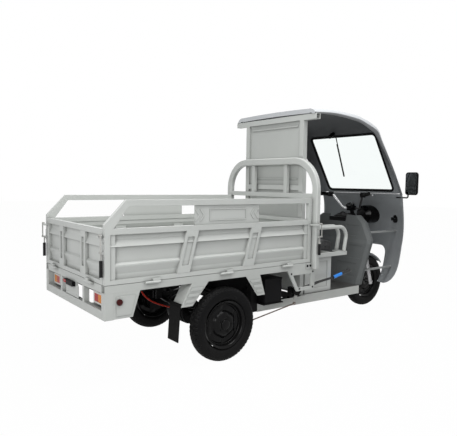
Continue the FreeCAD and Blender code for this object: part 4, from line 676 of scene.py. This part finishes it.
def make_finishes():
    """Gives every frame node its finish, by the record's slot or by its own name."""
    slots = {
        "light_paint": satin_paint("light_grey_paint", LIGHT_GREY),
        "bed_paint": satin_paint("cool_grey_paint", COOL_GREY),
        "chassis_paint": black_paint("chassis_black"),
        "cab_shell": gloss_shell(),
        "cab_inner": lining_finish(),
        "black_plastic": moulded("black_moulding", BLACK, 0.38),
        "tyre_rubber": tyre_rubber(),
        "wheel_paint": black_paint("wheel_black", 0.14, 0.1),
        "soft_rubber": moulded("soft_rubber", (0.006, 0.006, 0.006), 0.6, 500.0, 0.3),
        "cable_red": moulded("red_sheath", (0.55, 0.035, 0.02), 0.35, 600.0, 0.1),
        "glass": clear_pane(),
        "lens": front_lens(),
        "red_lens": rear_lens(),
        "seat_vinyl": vinyl(),
        "bare_alloy": brushed("cast_alloy", (0.42, 0.42, 0.43), 0.38, (1.0, 1.0, 6.0)),
        "bright_bar": handlebar_finish(),
        "zinc": brushed("zinc_plate", ZINC, 0.40, (1.0, 1.0, 8.0)),
    }
    own = {
        "parking_lever": parking_finish(),
        "floor_pan": floor_finish(),
        "leg_shield": moulded("shield_moulding", SHIELD_GREY, 0.42, 1100.0, 0.2),
        "drive_motor": black_paint("motor_black", 0.45),
        "cowl_stays": stay_finish(),
        "headlamp_bucket": black_paint("lamp_black", 0.14, 0.12),
        "brake_rod": brushed("aged_rod", (0.16, 0.12, 0.10), 0.5, (8.0, 1.0, 1.0)),
    }
    grip = latch_finish()
    for side in ("right", "left"):
        for place in ("tail", "side"):
            own["%s_%s_latch_lever" % (side, place)] = grip
    for part in frame["record"]["subparts"]:
        node = part["node"]
        mesh = NODES[node].data
        mesh.materials.clear()
        mesh.materials.append(own.get(node, slots[part["material_slot"]]))
    return slots


# Mesh making

def grid_faces(rows, columns, close_rows=False, close_columns=False):
    """Quads over a grid of points numbered row by row. A closed direction joins its last line to its
    first."""
    row = np.arange(rows if close_rows else rows - 1)
    column = np.arange(columns if close_columns else columns - 1)
    r, c = np.meshgrid(row, column, indexing="ij")
    r2 = (r + 1) % rows
    c2 = (c + 1) % columns
    corners = [r * columns + c, r * columns + c2, r2 * columns + c2, r2 * columns + c]
    return np.stack(corners, -1).reshape(-1, 4)


def piece(name, points, faces, material, body, smooth=True):
    """A mesh in the part's own frame that rides on one body."""
    mesh = bpy.data.meshes.new(name)
    mesh.from_pydata(np.asarray(points).reshape(-1, 3).tolist(), [], np.asarray(faces).tolist())
    mesh.validate()
    mesh.polygons.foreach_set("use_smooth", np.full(len(mesh.polygons), smooth))
    mesh.materials.append(material)
    made = bpy.data.objects.new(name, mesh)
    bpy.context.scene.collection.objects.link(made)
    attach(made, body)
    return made


def turned_points(profile, centre, steps):
    """A profile of (across, radius) pairs carried round the axle: x and z go round, y is across."""
    profile = np.asarray(profile)
    angle = np.linspace(0.0, 2 * np.pi, steps, endpoint=False)[:, None]
    x = profile[None, :, 1] * np.sin(angle)
    z = profile[None, :, 1] * np.cos(angle)
    y = np.broadcast_to(profile[None, :, 0], x.shape)
    return np.stack([x, y, z], -1) + np.array(centre)


# Tyres

TYRE_STEPS = 672
TYRE_SECTION = 72
LUGS = 56
BEAD_SHARE = 174.0 / 271.5
SQUARENESS = 2.7
TREAD_DEPTH = 0.0075
GROOVES = (-0.26, 0.26)
GROOVE_HALF = 0.003
GROOVE_SWING = 0.0035
WALL_RINGS = (0.22, 0.30, 0.72)
RING_HALF = 0.0022
RING_HEIGHT = 0.0009


def tyre_points(node):
    """A squared-off torus: across = a |cos|^k, radius = mid + b |sin|^k. Two zigzag grooves round the crown
    and slots over the shoulders are cut in, and three thin rings are raised on each wall."""
    low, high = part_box(node)
    centre = (low + high) / 2
    outer = (high.z - low.z) / 2
    half = (high.y - low.y) / 2 - 0.001
    bead = outer * BEAD_SHARE
    turn = np.linspace(0.0, 2 * np.pi, TYRE_SECTION, endpoint=False)[None, :]
    angle = np.linspace(0.0, 2 * np.pi, TYRE_STEPS, endpoint=False)[:, None]
    power = 2.0 / SQUARENESS
    mid = (outer + bead) / 2
    rise = (outer - bead) / 2
    across = half * np.sign(np.cos(turn)) * np.abs(np.cos(turn)) ** power
    radius = mid + rise * np.sign(np.sin(turn)) * np.abs(np.sin(turn)) ** power
    crown = np.clip((radius - (outer - 0.020)) / 0.006, 0.0, 1.0)
    zigzag = GROOVE_SWING * (2 / np.pi) * np.arcsin(np.sin(LUGS / 2 * angle))
    cut = np.zeros((TYRE_STEPS, TYRE_SECTION))
    for line in GROOVES:
        cut = np.maximum(cut, np.clip(1.6 - np.abs(across - line * half - zigzag) / GROOVE_HALF, 0.0, 1.0))
    slant = angle * LUGS + np.sign(across) * 1.2 + across / half * 2.2
    shoulder = np.clip((np.abs(across) / half - 0.52) / 0.08, 0.0, 1.0)
    slots = np.clip((np.sin(slant) - 0.35) / 0.25, 0.0, 1.0) * shoulder
    sipes = np.clip((np.sin(slant * 2) - 0.86) / 0.1, 0.0, 1.0) * (1 - shoulder) * 0.5
    cut = np.maximum(np.maximum(cut, slots), sipes) * crown
    rings = np.zeros_like(radius)
    for place in WALL_RINGS:
        rings += np.clip(1 - np.abs(radius - bead - place * (outer - bead)) / RING_HALF, 0.0, 1.0)
    radius = radius - TREAD_DEPTH * cut
    raised = np.sign(across) * RING_HEIGHT * rings * (np.abs(across) > 0.7 * half)
    across = across + raised - across * 0.03 * cut
    across = np.clip(across, -half - 0.001, half + 0.001)
    across = np.broadcast_to(across, radius.shape)
    return np.stack([radius * np.sin(angle), across, radius * np.cos(angle)], -1) + np.array(centre)


def make_tyres(rubber):
    """A treaded tyre in each tyre's place."""
    faces = grid_faces(TYRE_STEPS, TYRE_SECTION, True, True)
    for name in ("right", "left", "front"):
        node = name + "_tyre"
        made = piece(node + "_treaded", tyre_points(node), faces, rubber, name + "_wheel")
        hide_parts(node)


# Fasteners

def bolt_template():
    """One unit bolt along +Z: a washer, six flats and a chamfered top, as rings of points and quads."""
    sides = 6
    angle = np.arange(sides) * np.pi / 3
    rings = [(1.35, 0.0), (1.35, 0.16), (1.0, 0.18), (1.0, 0.62), (0.84, 0.74), (0.001, 0.76)]
    points = [np.stack([r * np.cos(angle), r * np.sin(angle), np.full(sides, h)], 1) for r, h in rings]
    return np.concatenate(points), grid_faces(len(rings), sides, close_columns=True)


def make_bolts(name, places, body, material):
    """Bolt heads at (point, outward direction, radius), all in one mesh."""
    shape, faces = bolt_template()
    every = []
    quads = []
    for index, (point, out, radius) in enumerate(places):
        turn = np.array(Vector(out).to_track_quat("Z", "Y").to_matrix())
        every.append(shape * radius @ turn.T + np.array(point))
        quads.append(faces + index * len(shape))
    return piece(name, np.concatenate(every), np.concatenate(quads), material, body, smooth=False)


# Wheels

RIM_SECTION = (
    # across from the wheel's middle and radius, in millimetres: the outer face from bore to flange, then back
    (40, 22), (40, 66), (37, 72), (30, 84), (22, 92), (14, 97), (10, 102), (9, 110), (12, 118), (13, 128),
    (11, 138), (6, 145), (6, 149), (14, 152), (24, 154), (33, 157), (38, 162), (41, 168), (44, 171),
    (45.5, 174), (44, 176), (40, 173), (36, 166), (26, 158), (2, 154), (-20, 154), (-30, 160), (-40, 168),
    (-44, 174), (-45.5, 173), (-44, 168), (-34, 157), (-24, 151), (0, 148), (2, 140), (7, 128),
    (5, 112), (6, 100), (18, 90), (30, 70), (30, 40), (20, 34), (-38, 34), (-38, 22),
)
RIM_STEPS = 180
REAR_TYRE_WIDTH = 0.104
# radius and reach of the boss and of the hollows, and how far each departs from the section
BOSS, BOSS_REACH, LOBE_SHARE = 0.086, 0.022, 0.05
HOLLOWS, HOLLOW_REACH, HOLLOW_DEPTH = 0.126, 0.018, 0.011


def face_outward(made):
    """Turns every face of a closed mesh to the outside."""
    shape = bmesh.new()
    shape.from_mesh(made.data)
    bmesh.ops.recalc_face_normals(shape, faces=shape.faces)
    shape.to_mesh(made.data)
    shape.free()


def make_rim(name, sign, material):
    """A pressed wheel: its section goes round the axle, the boss swells in six lobes as 1 + 0.05 cos 6a, and
    six hollows are pressed into the disc, each as deep as cos 3a to the eighth power."""
    low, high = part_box(name + "_tyre")
    centre = (low + high) / 2
    section = np.array(RIM_SECTION) / 1000
    across = section[None, :, 0] * (high.y - low.y) / REAR_TYRE_WIDTH
    radius = section[None, :, 1]
    angle = np.linspace(0.0, 2 * np.pi, RIM_STEPS, endpoint=False)[:, None]
    boss = np.clip(1 - np.abs(radius - BOSS) / BOSS_REACH, 0.0, 1.0)
    hollow = np.cos(3 * angle) ** 8 * np.clip(1 - np.abs(radius - HOLLOWS) / HOLLOW_REACH, 0.0, 1.0)
    radius = radius * (1 + LOBE_SHARE * np.cos(6 * angle) * boss)
    across = sign * (across - HOLLOW_DEPTH * hollow)
    points = np.stack([radius * np.sin(angle), across, radius * np.cos(angle)], -1) + np.array(centre)
    faces = grid_faces(RIM_STEPS, len(section), True, True)
    made = piece(name + "_rim_pressed", points, faces, material, name + "_wheel")
    face_outward(made)
    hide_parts(name + "_rim")


HUB_CAP = ((0.0, 0.038), (0.003, 0.038), (0.006, 0.034), (0.0085, 0.022), (0.009, 0.0005))
HUB_STEPS = 40
HUB_FACE = 0.040
NUTS = 5
NUT_TURN = 0.3
NUT_RING = 0.053
NUT_RADIUS = 0.0085


def wheel_fittings(slots):
    """Pressed rims, hub caps and wheel nuts."""
    for name, sign in (("right", -1), ("left", 1), ("front", -1)):
        make_rim(name, sign, slots["wheel_paint"])
    for name, sign in (("right", -1), ("left", 1)):
        centre = middle(name + "_tyre")
        body = name + "_wheel"
        face = centre.y + sign * HUB_FACE
        profile = [(sign * along, radius) for along, radius in HUB_CAP]
        points = turned_points(profile, (centre.x, face, centre.z), HUB_STEPS)
        faces = grid_faces(HUB_STEPS, len(HUB_CAP), close_rows=True)
        faces = faces if sign > 0 else faces[:, ::-1]
        piece(name + "_hub_cap", points, faces, slots["wheel_paint"], body)
        nuts = []
        for angle in np.arange(NUTS) * 2 * np.pi / NUTS + NUT_TURN:
            x = centre.x + NUT_RING * math.sin(angle)
            z = centre.z + NUT_RING * math.cos(angle)
            nuts.append(((x, face - sign * 0.0005, z), (0, sign, 0), NUT_RADIUS))
        make_bolts(name + "_wheel_nuts", nuts, body, slots["chassis_paint"])


# Soft pieces

SLAB_STEPS = 24
DRAWN_IN = 0.02
VOXEL = 0.007
PRESSURE = 4.0
CLOTH_FRAMES = 14
PAD_INSET = 0.010
PAD_REST = 0.0005


def slab_points(low, high, crown, pull, steps):
    """Top or bottom sheet of a cushion: its edge drawn in by pull at mid-side, its middle raised by crown."""
    u, v = np.meshgrid(np.linspace(-1, 1, steps), np.linspace(-1, 1, steps), indexing="ij")
    shape = (1 - u ** 4) * (1 - v ** 4)
    x = (low[0] + high[0]) / 2 + u * (high[0] - low[0]) / 2 * (1 - pull * (1 - v * v) * np.abs(u) ** 3)
    y = (low[1] + high[1]) / 2 + v * (high[1] - low[1]) / 2 * (1 - pull * (1 - u * u) * np.abs(v) ** 3)
    return x, y, shape * crown


def cushion_base(name, low, high, crown):
    """A closed slab with a crowned top and rounded rim, to be stuffed."""
    steps = SLAB_STEPS
    x, y, lift = slab_points(low, high, crown, DRAWN_IN, steps)
    top = np.stack([x, y, high[2] - crown + lift], -1).reshape(-1, 3)
    base = np.stack([x, y, np.full_like(x, low[2])], -1).reshape(-1, 3)
    faces = grid_faces(steps, steps)
    count = steps * steps
    ring = np.concatenate([
        np.arange(steps),
        np.arange(1, steps) * steps + steps - 1,
        (steps - 1) * steps + np.arange(steps - 2, -1, -1),
        np.arange(steps - 2, 0, -1) * steps,
    ])
    after = np.roll(ring, -1)
    side = np.stack([ring, after, after + count, ring + count], 1)
    mesh = bpy.data.meshes.new(name)
    every = np.concatenate([faces, faces[:, ::-1] + count, side])
    mesh.from_pydata(np.concatenate([top, base]).tolist(), [], every.tolist())
    made = bpy.data.objects.new(name, mesh)
    bpy.context.scene.collection.objects.link(made)
    return made


def apply_modifiers(made):
    """Bakes the piece's modifiers into its mesh."""
    graph = bpy.context.evaluated_depsgraph_get()
    mesh = bpy.data.meshes.new_from_object(made.evaluated_get(graph))
    made.modifiers.clear()
    made.data = mesh


def stuff(made, cap):
    """Voxel remesh, then a short cloth run under pressure with each point's travel capped."""
    remesh = made.modifiers.new("remesh", "REMESH")
    remesh.mode = "VOXEL"
    remesh.voxel_size = VOXEL
    apply_modifiers(made)
    count = len(made.data.vertices)
    start = np.zeros(count * 3)
    made.data.vertices.foreach_get("co", start)
    cloth = made.modifiers.new("cloth", "CLOTH")
    cloth.settings.use_pressure = True
    cloth.settings.uniform_pressure_force = PRESSURE
    cloth.settings.effector_weights.gravity = 0.0
    cloth.settings.quality = 4
    cloth.collision_settings.use_collision = False
    scene = bpy.context.scene
    for step in range(1, CLOTH_FRAMES + 1):
        scene.frame_set(step)
    apply_modifiers(made)
    scene.frame_set(1)
    points = np.zeros(count * 3)
    made.data.vertices.foreach_get("co", points)
    travel = (points - start).reshape(-1, 3)
    length = np.linalg.norm(travel, axis=1, keepdims=True)
    travel *= np.minimum(1.0, cap / np.maximum(length, 1e-9))
    return start.reshape(-1, 3) + travel


def finish_cushion(made, points, material, body, node):
    """Puts the stuffed shape in its node's place, smooth and in its cover."""
    made.data.vertices.foreach_set("co", points.ravel())
    made.data.polygons.foreach_set("use_smooth", np.full(len(made.data.polygons), True))
    made.data.materials.clear()
    made.data.materials.append(material)
    smooth = made.modifiers.new("smooth", "SUBSURF")
    smooth.levels = 1
    smooth.render_levels = 1
    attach(made, body)
    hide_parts(node)


def groove(points, axis, lines, up, depth, width):
    """Sews channels: points near a line across one axis sink along -up, most where they face up."""
    near = np.zeros(len(points))
    for line in lines:
        near = np.maximum(near, np.exp(-((points[:, axis] - line) / width) ** 2))
    level = points @ np.asarray(up)
    face = np.clip((level - level.mean()) / (level.max() - level.mean()), 0.0, 1.0)
    return points - np.outer(near * face * depth, up)


def make_cushions(material):
    """The seat pad and the back pad, stuffed and sewn."""
    inset = PAD_INSET
    low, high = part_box("seat_cushion")
    start = (low.x + inset, low.y + inset, low.z + 0.002)
    seat = cushion_base("seat_pad", start, (high.x - inset, high.y - inset, high.z - inset), crown=0.022)
    points = stuff(seat, cap=0.010)
    seam = (high.y - low.y) / 6
    points = groove(points, 1, (-seam, seam), up=(0, 0, 1), depth=0.012, width=0.006)
    points[:, 2] = np.maximum(points[:, 2], low.z + PAD_REST)
    finish_cushion(seat, points, material, "chassis", "seat_cushion")
    low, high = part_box("seat_backrest")
    depth = high.x - low.x
    start = (low.z + inset, low.y + inset, 0.002)
    pad = cushion_base("back_pad", start, (high.z - inset, high.y - inset, depth - inset), crown=0.016)
    points = stuff(pad, cap=0.009)
    points = np.stack([low.x + np.maximum(points[:, 2], PAD_REST), points[:, 1], points[:, 0]], 1)
    points = groove(points, 1, (-0.09, 0.09), up=(1, 0, 0), depth=0.009, width=0.006)
    finish_cushion(pad, points, material, "chassis", "seat_backrest")
    # the swap of axes turned the back pad inside out
    pad.data.flip_normals()


# Motor lead

LEAD_POINTS = [
    (-0.470, -0.090, 0.604), (-0.460, -0.090, 0.545), (-0.436, -0.088, 0.488),
    (-0.398, -0.084, 0.436), (-0.344, -0.078, 0.394), (-0.276, -0.072, 0.360),
    (-0.204, -0.066, 0.334), (-0.136, -0.062, 0.310), (-0.0993, -0.060, 0.291),
]
LEAD_DIAMETER = 0.012


def make_lead(material):
    """The red motor lead on one smooth spline, from the bed's frame down to the motor."""
    data = bpy.data.curves.new("motor_lead", "CURVE")
    data.dimensions = "3D"
    data.bevel_depth = LEAD_DIAMETER / 2
    data.bevel_resolution = 5
    data.use_fill_caps = True
    spline = data.splines.new("NURBS")
    spline.points.add(len(LEAD_POINTS) - 1)
    for point, place in zip(spline.points, LEAD_POINTS):
        point.co = (*from_axle(*place), 1.0)
    spline.order_u = 3
    spline.use_endpoint_u = True
    spline.resolution_u = 12
    lead = bpy.data.objects.new("motor_lead", data)
    bpy.context.scene.collection.objects.link(lead)
    data.materials.append(material)
    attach(lead, "chassis")
    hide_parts("motor_cable")


# Leaf springs


def make_springs():
    """The leaf springs: a copy of their node's mesh, baked in place, standing in for the hidden node."""
    made = bpy.data.objects.new("flexing_springs", NODES["leaf_springs"].data.copy())
    bpy.context.scene.collection.objects.link(made)
    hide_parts("leaf_springs")
    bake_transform(made)


# Mirrors, grips and controls

MIRROR_RIM = 0.009
GRIP_INNER = (1.9592, 0.2344, 1.1976)
GRIP_OUTER = (1.8610, 0.3674, 1.21418)
GRIP_RADIUS = 0.0178
GRIP_FLARE = 0.004
GRIP_RIBS = 22
RIB_HEIGHT = 0.0007
SWITCH_AT = (1.975, 0.208, 1.195)
SWITCH_BELOW = (0.026, 0.020, 0.022)
SWITCH_ABOVE = (0.026, 0.020, 0.026)
SWITCH_CORNER = 0.008
GAUGE_AT = (2.052, 0.0, 1.066)
GAUGE_FACES = (-0.45, 0.0, 0.89)
# along the gauge's axis and radius
GAUGE_SECTION = (
    (0.0, 0.001), (0.0, 0.040), (0.020, 0.046), (0.034, 0.046), (0.038, 0.042), (0.035, 0.039),
    (0.034, 0.001),
)


def rounded_plate(half_width, half_height, corner, steps=8):
    """An outline of straight sides and round corners, as (across, up) pairs."""
    quarter = np.linspace(0.0, np.pi / 2, steps)
    outline = []
    for turn, sx, sy in ((0, 1, 1), (1, -1, 1), (2, -1, -1), (3, 1, -1)):
        angle = quarter + turn * np.pi / 2
        outline.append(np.stack([sx * (half_width - corner) + corner * np.cos(angle),
                                 sy * (half_height - corner) + corner * np.sin(angle)], 1))
    return np.concatenate(outline)


def make_mirror_glass():
    """A silvered pane, slightly crowned, on the rear face of each mirror."""
    finish = Finish("silvered_pane", (0.16, 0.17, 0.18), 0.03, metallic=1.0)
    finish.rough = link_math(finish.tree, "MULTIPLY", noise(finish.tree, 8.0, 3.0), 0.06)
    material = finish.done()
    rings = np.linspace(1.0, 0.0, 7)
    for side in ("right", "left"):
        low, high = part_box(side + "_mirror")
        centre = (low + high) / 2
        half = (high - low) / 2
        outline = rounded_plate(half.y - MIRROR_RIM, half.z - MIRROR_RIM, 2 * MIRROR_RIM)
        share = rings[:, None]
        y = centre.y + outline[None, :, 0] * share
        z = centre.z + outline[None, :, 1] * share
        x = np.broadcast_to(low.x - 0.0006 + 0.0004 * share ** 2, y.shape)
        faces = grid_faces(len(rings), len(outline), close_columns=True)[:, ::-1]
        name = side + "_mirror"
        piece(name + "_pane", np.stack([x, y, z], -1), faces, material, name)


def make_grips(rubber):
    """Ribbed sleeves: a tube whose radius swells in even ribs and flares at its inner end."""
    steps = 90
    sides = 28
    for name, sign, body in (("right_grip", -1, "throttle"), ("left_grip", 1, "steering")):
        inner = from_axle(GRIP_INNER[0], sign * GRIP_INNER[1], GRIP_INNER[2])
        outer = from_axle(GRIP_OUTER[0], sign * GRIP_OUTER[1], GRIP_OUTER[2])
        axis = (outer - inner).normalized()
        side = axis.cross(Vector((0, 0, 1))).normalized()
        up = side.cross(axis)
        along = np.linspace(0.0, 1.0, steps)
        ribs = RIB_HEIGHT * np.sign(np.sin(along * 2 * np.pi * GRIP_RIBS)) * (np.abs(along - 0.5) < 0.42)
        radius = GRIP_RADIUS + ribs + GRIP_FLARE * np.exp(-(along / 0.03) ** 2)
        angle = np.linspace(0.0, 2 * np.pi, sides, endpoint=False)
        path = np.array(inner)[None, :] + along[:, None] * np.array(outer - inner)[None, :]
        ring = np.cos(angle)[:, None] * np.array(side) + np.sin(angle)[:, None] * np.array(up)
        points = path[:, None, :] + radius[:, None, None] * ring[None, :, :]
        piece(name, points, grid_faces(steps, sides, close_columns=True), rubber, body)


def rounded_box(low, high, corner, steps=5):
    """A box with rounded upright edges: one outline, laid at six levels with both ends drawn in."""
    outline = rounded_plate((high[0] - low[0]) / 2, (high[1] - low[1]) / 2, corner, steps)
    middle_x = (low[0] + high[0]) / 2
    middle_y = (low[1] + high[1]) / 2
    rows = []
    levels = [(low[2], 0.001), (low[2], 0.9), (low[2] + corner / 2, 1.0)]
    levels += [(high[2] - corner / 2, 1.0), (high[2], 0.9), (high[2], 0.001)]
    for height, share in levels:
        x = middle_x + outline[:, 0] * share
        y = middle_y + outline[:, 1] * share
        rows.append(np.stack([x, y, np.full(len(outline), height)], 1))
    return np.stack(rows), grid_faces(len(levels), len(outline), close_columns=True)


def make_controls(slots):
    """A switch block round the bar beside each grip, and a round gauge seated on the bar clamp."""
    black = slots["black_plastic"]
    for name, sign in (("right", -1), ("left", 1)):
        at = from_axle(SWITCH_AT[0], sign * SWITCH_AT[1], SWITCH_AT[2])
        points, faces = rounded_box(at - Vector(SWITCH_BELOW), at + Vector(SWITCH_ABOVE), SWITCH_CORNER)
        face_outward(piece(name + "_switch_block", points, faces, black, "steering"))
    turn = np.array(Vector(GAUGE_FACES).to_track_quat("Z", "Y").to_matrix())
    steps = 40
    angle = np.linspace(0.0, 2 * np.pi, steps, endpoint=False)[:, None]
    section = np.array(GAUGE_SECTION)[None, :, :]
    x = section[..., 1] * np.cos(angle)
    y = section[..., 1] * np.sin(angle)
    upright = np.stack([x, y, np.broadcast_to(section[..., 0], x.shape)], -1).reshape(-1, 3)
    points = upright @ turn.T + np.array(from_axle(*GAUGE_AT))
    faces = grid_faces(steps, len(GAUGE_SECTION), close_rows=True)
    face_outward(piece("gauge", points, faces, black, "steering"))


# along and up, then how far out the face is and the bolts' radius
HOOP_BOLTS = ((0.835, 0.628), (0.868, 0.628))
HOOP_FACE, HOOP_BOLT = 0.5622, 0.008
STEP_BOLTS = ((0.752, 0.4475), (0.905, 0.4475), (0.66, 0.5765), (0.905, 0.5765))
STEP_FACE, STEP_BOLT = 0.5572, 0.006


def make_fasteners(slots):
    """Bolts at the hoop's feet and on the step brackets."""
    places = []
    for sign in (-1, 1):
        places += [(from_axle(x, sign * HOOP_FACE, z), (0, sign, 0), HOOP_BOLT) for x, z in HOOP_BOLTS]
        places += [(from_axle(x, sign * STEP_FACE, z), (0, sign, 0), STEP_BOLT) for x, z in STEP_BOLTS]
    make_bolts("frame_bolts", places, "chassis", slots["black_plastic"])


make_stage()
SLOTS = make_finishes()
make_lead(SLOTS["cable_red"])
make_springs()
make_tyres(SLOTS["tyre_rubber"])
wheel_fittings(SLOTS)
make_mirror_glass()
make_grips(SLOTS["soft_rubber"])
make_controls(SLOTS)
make_fasteners(SLOTS)
make_cushions(SLOTS["seat_vinyl"])
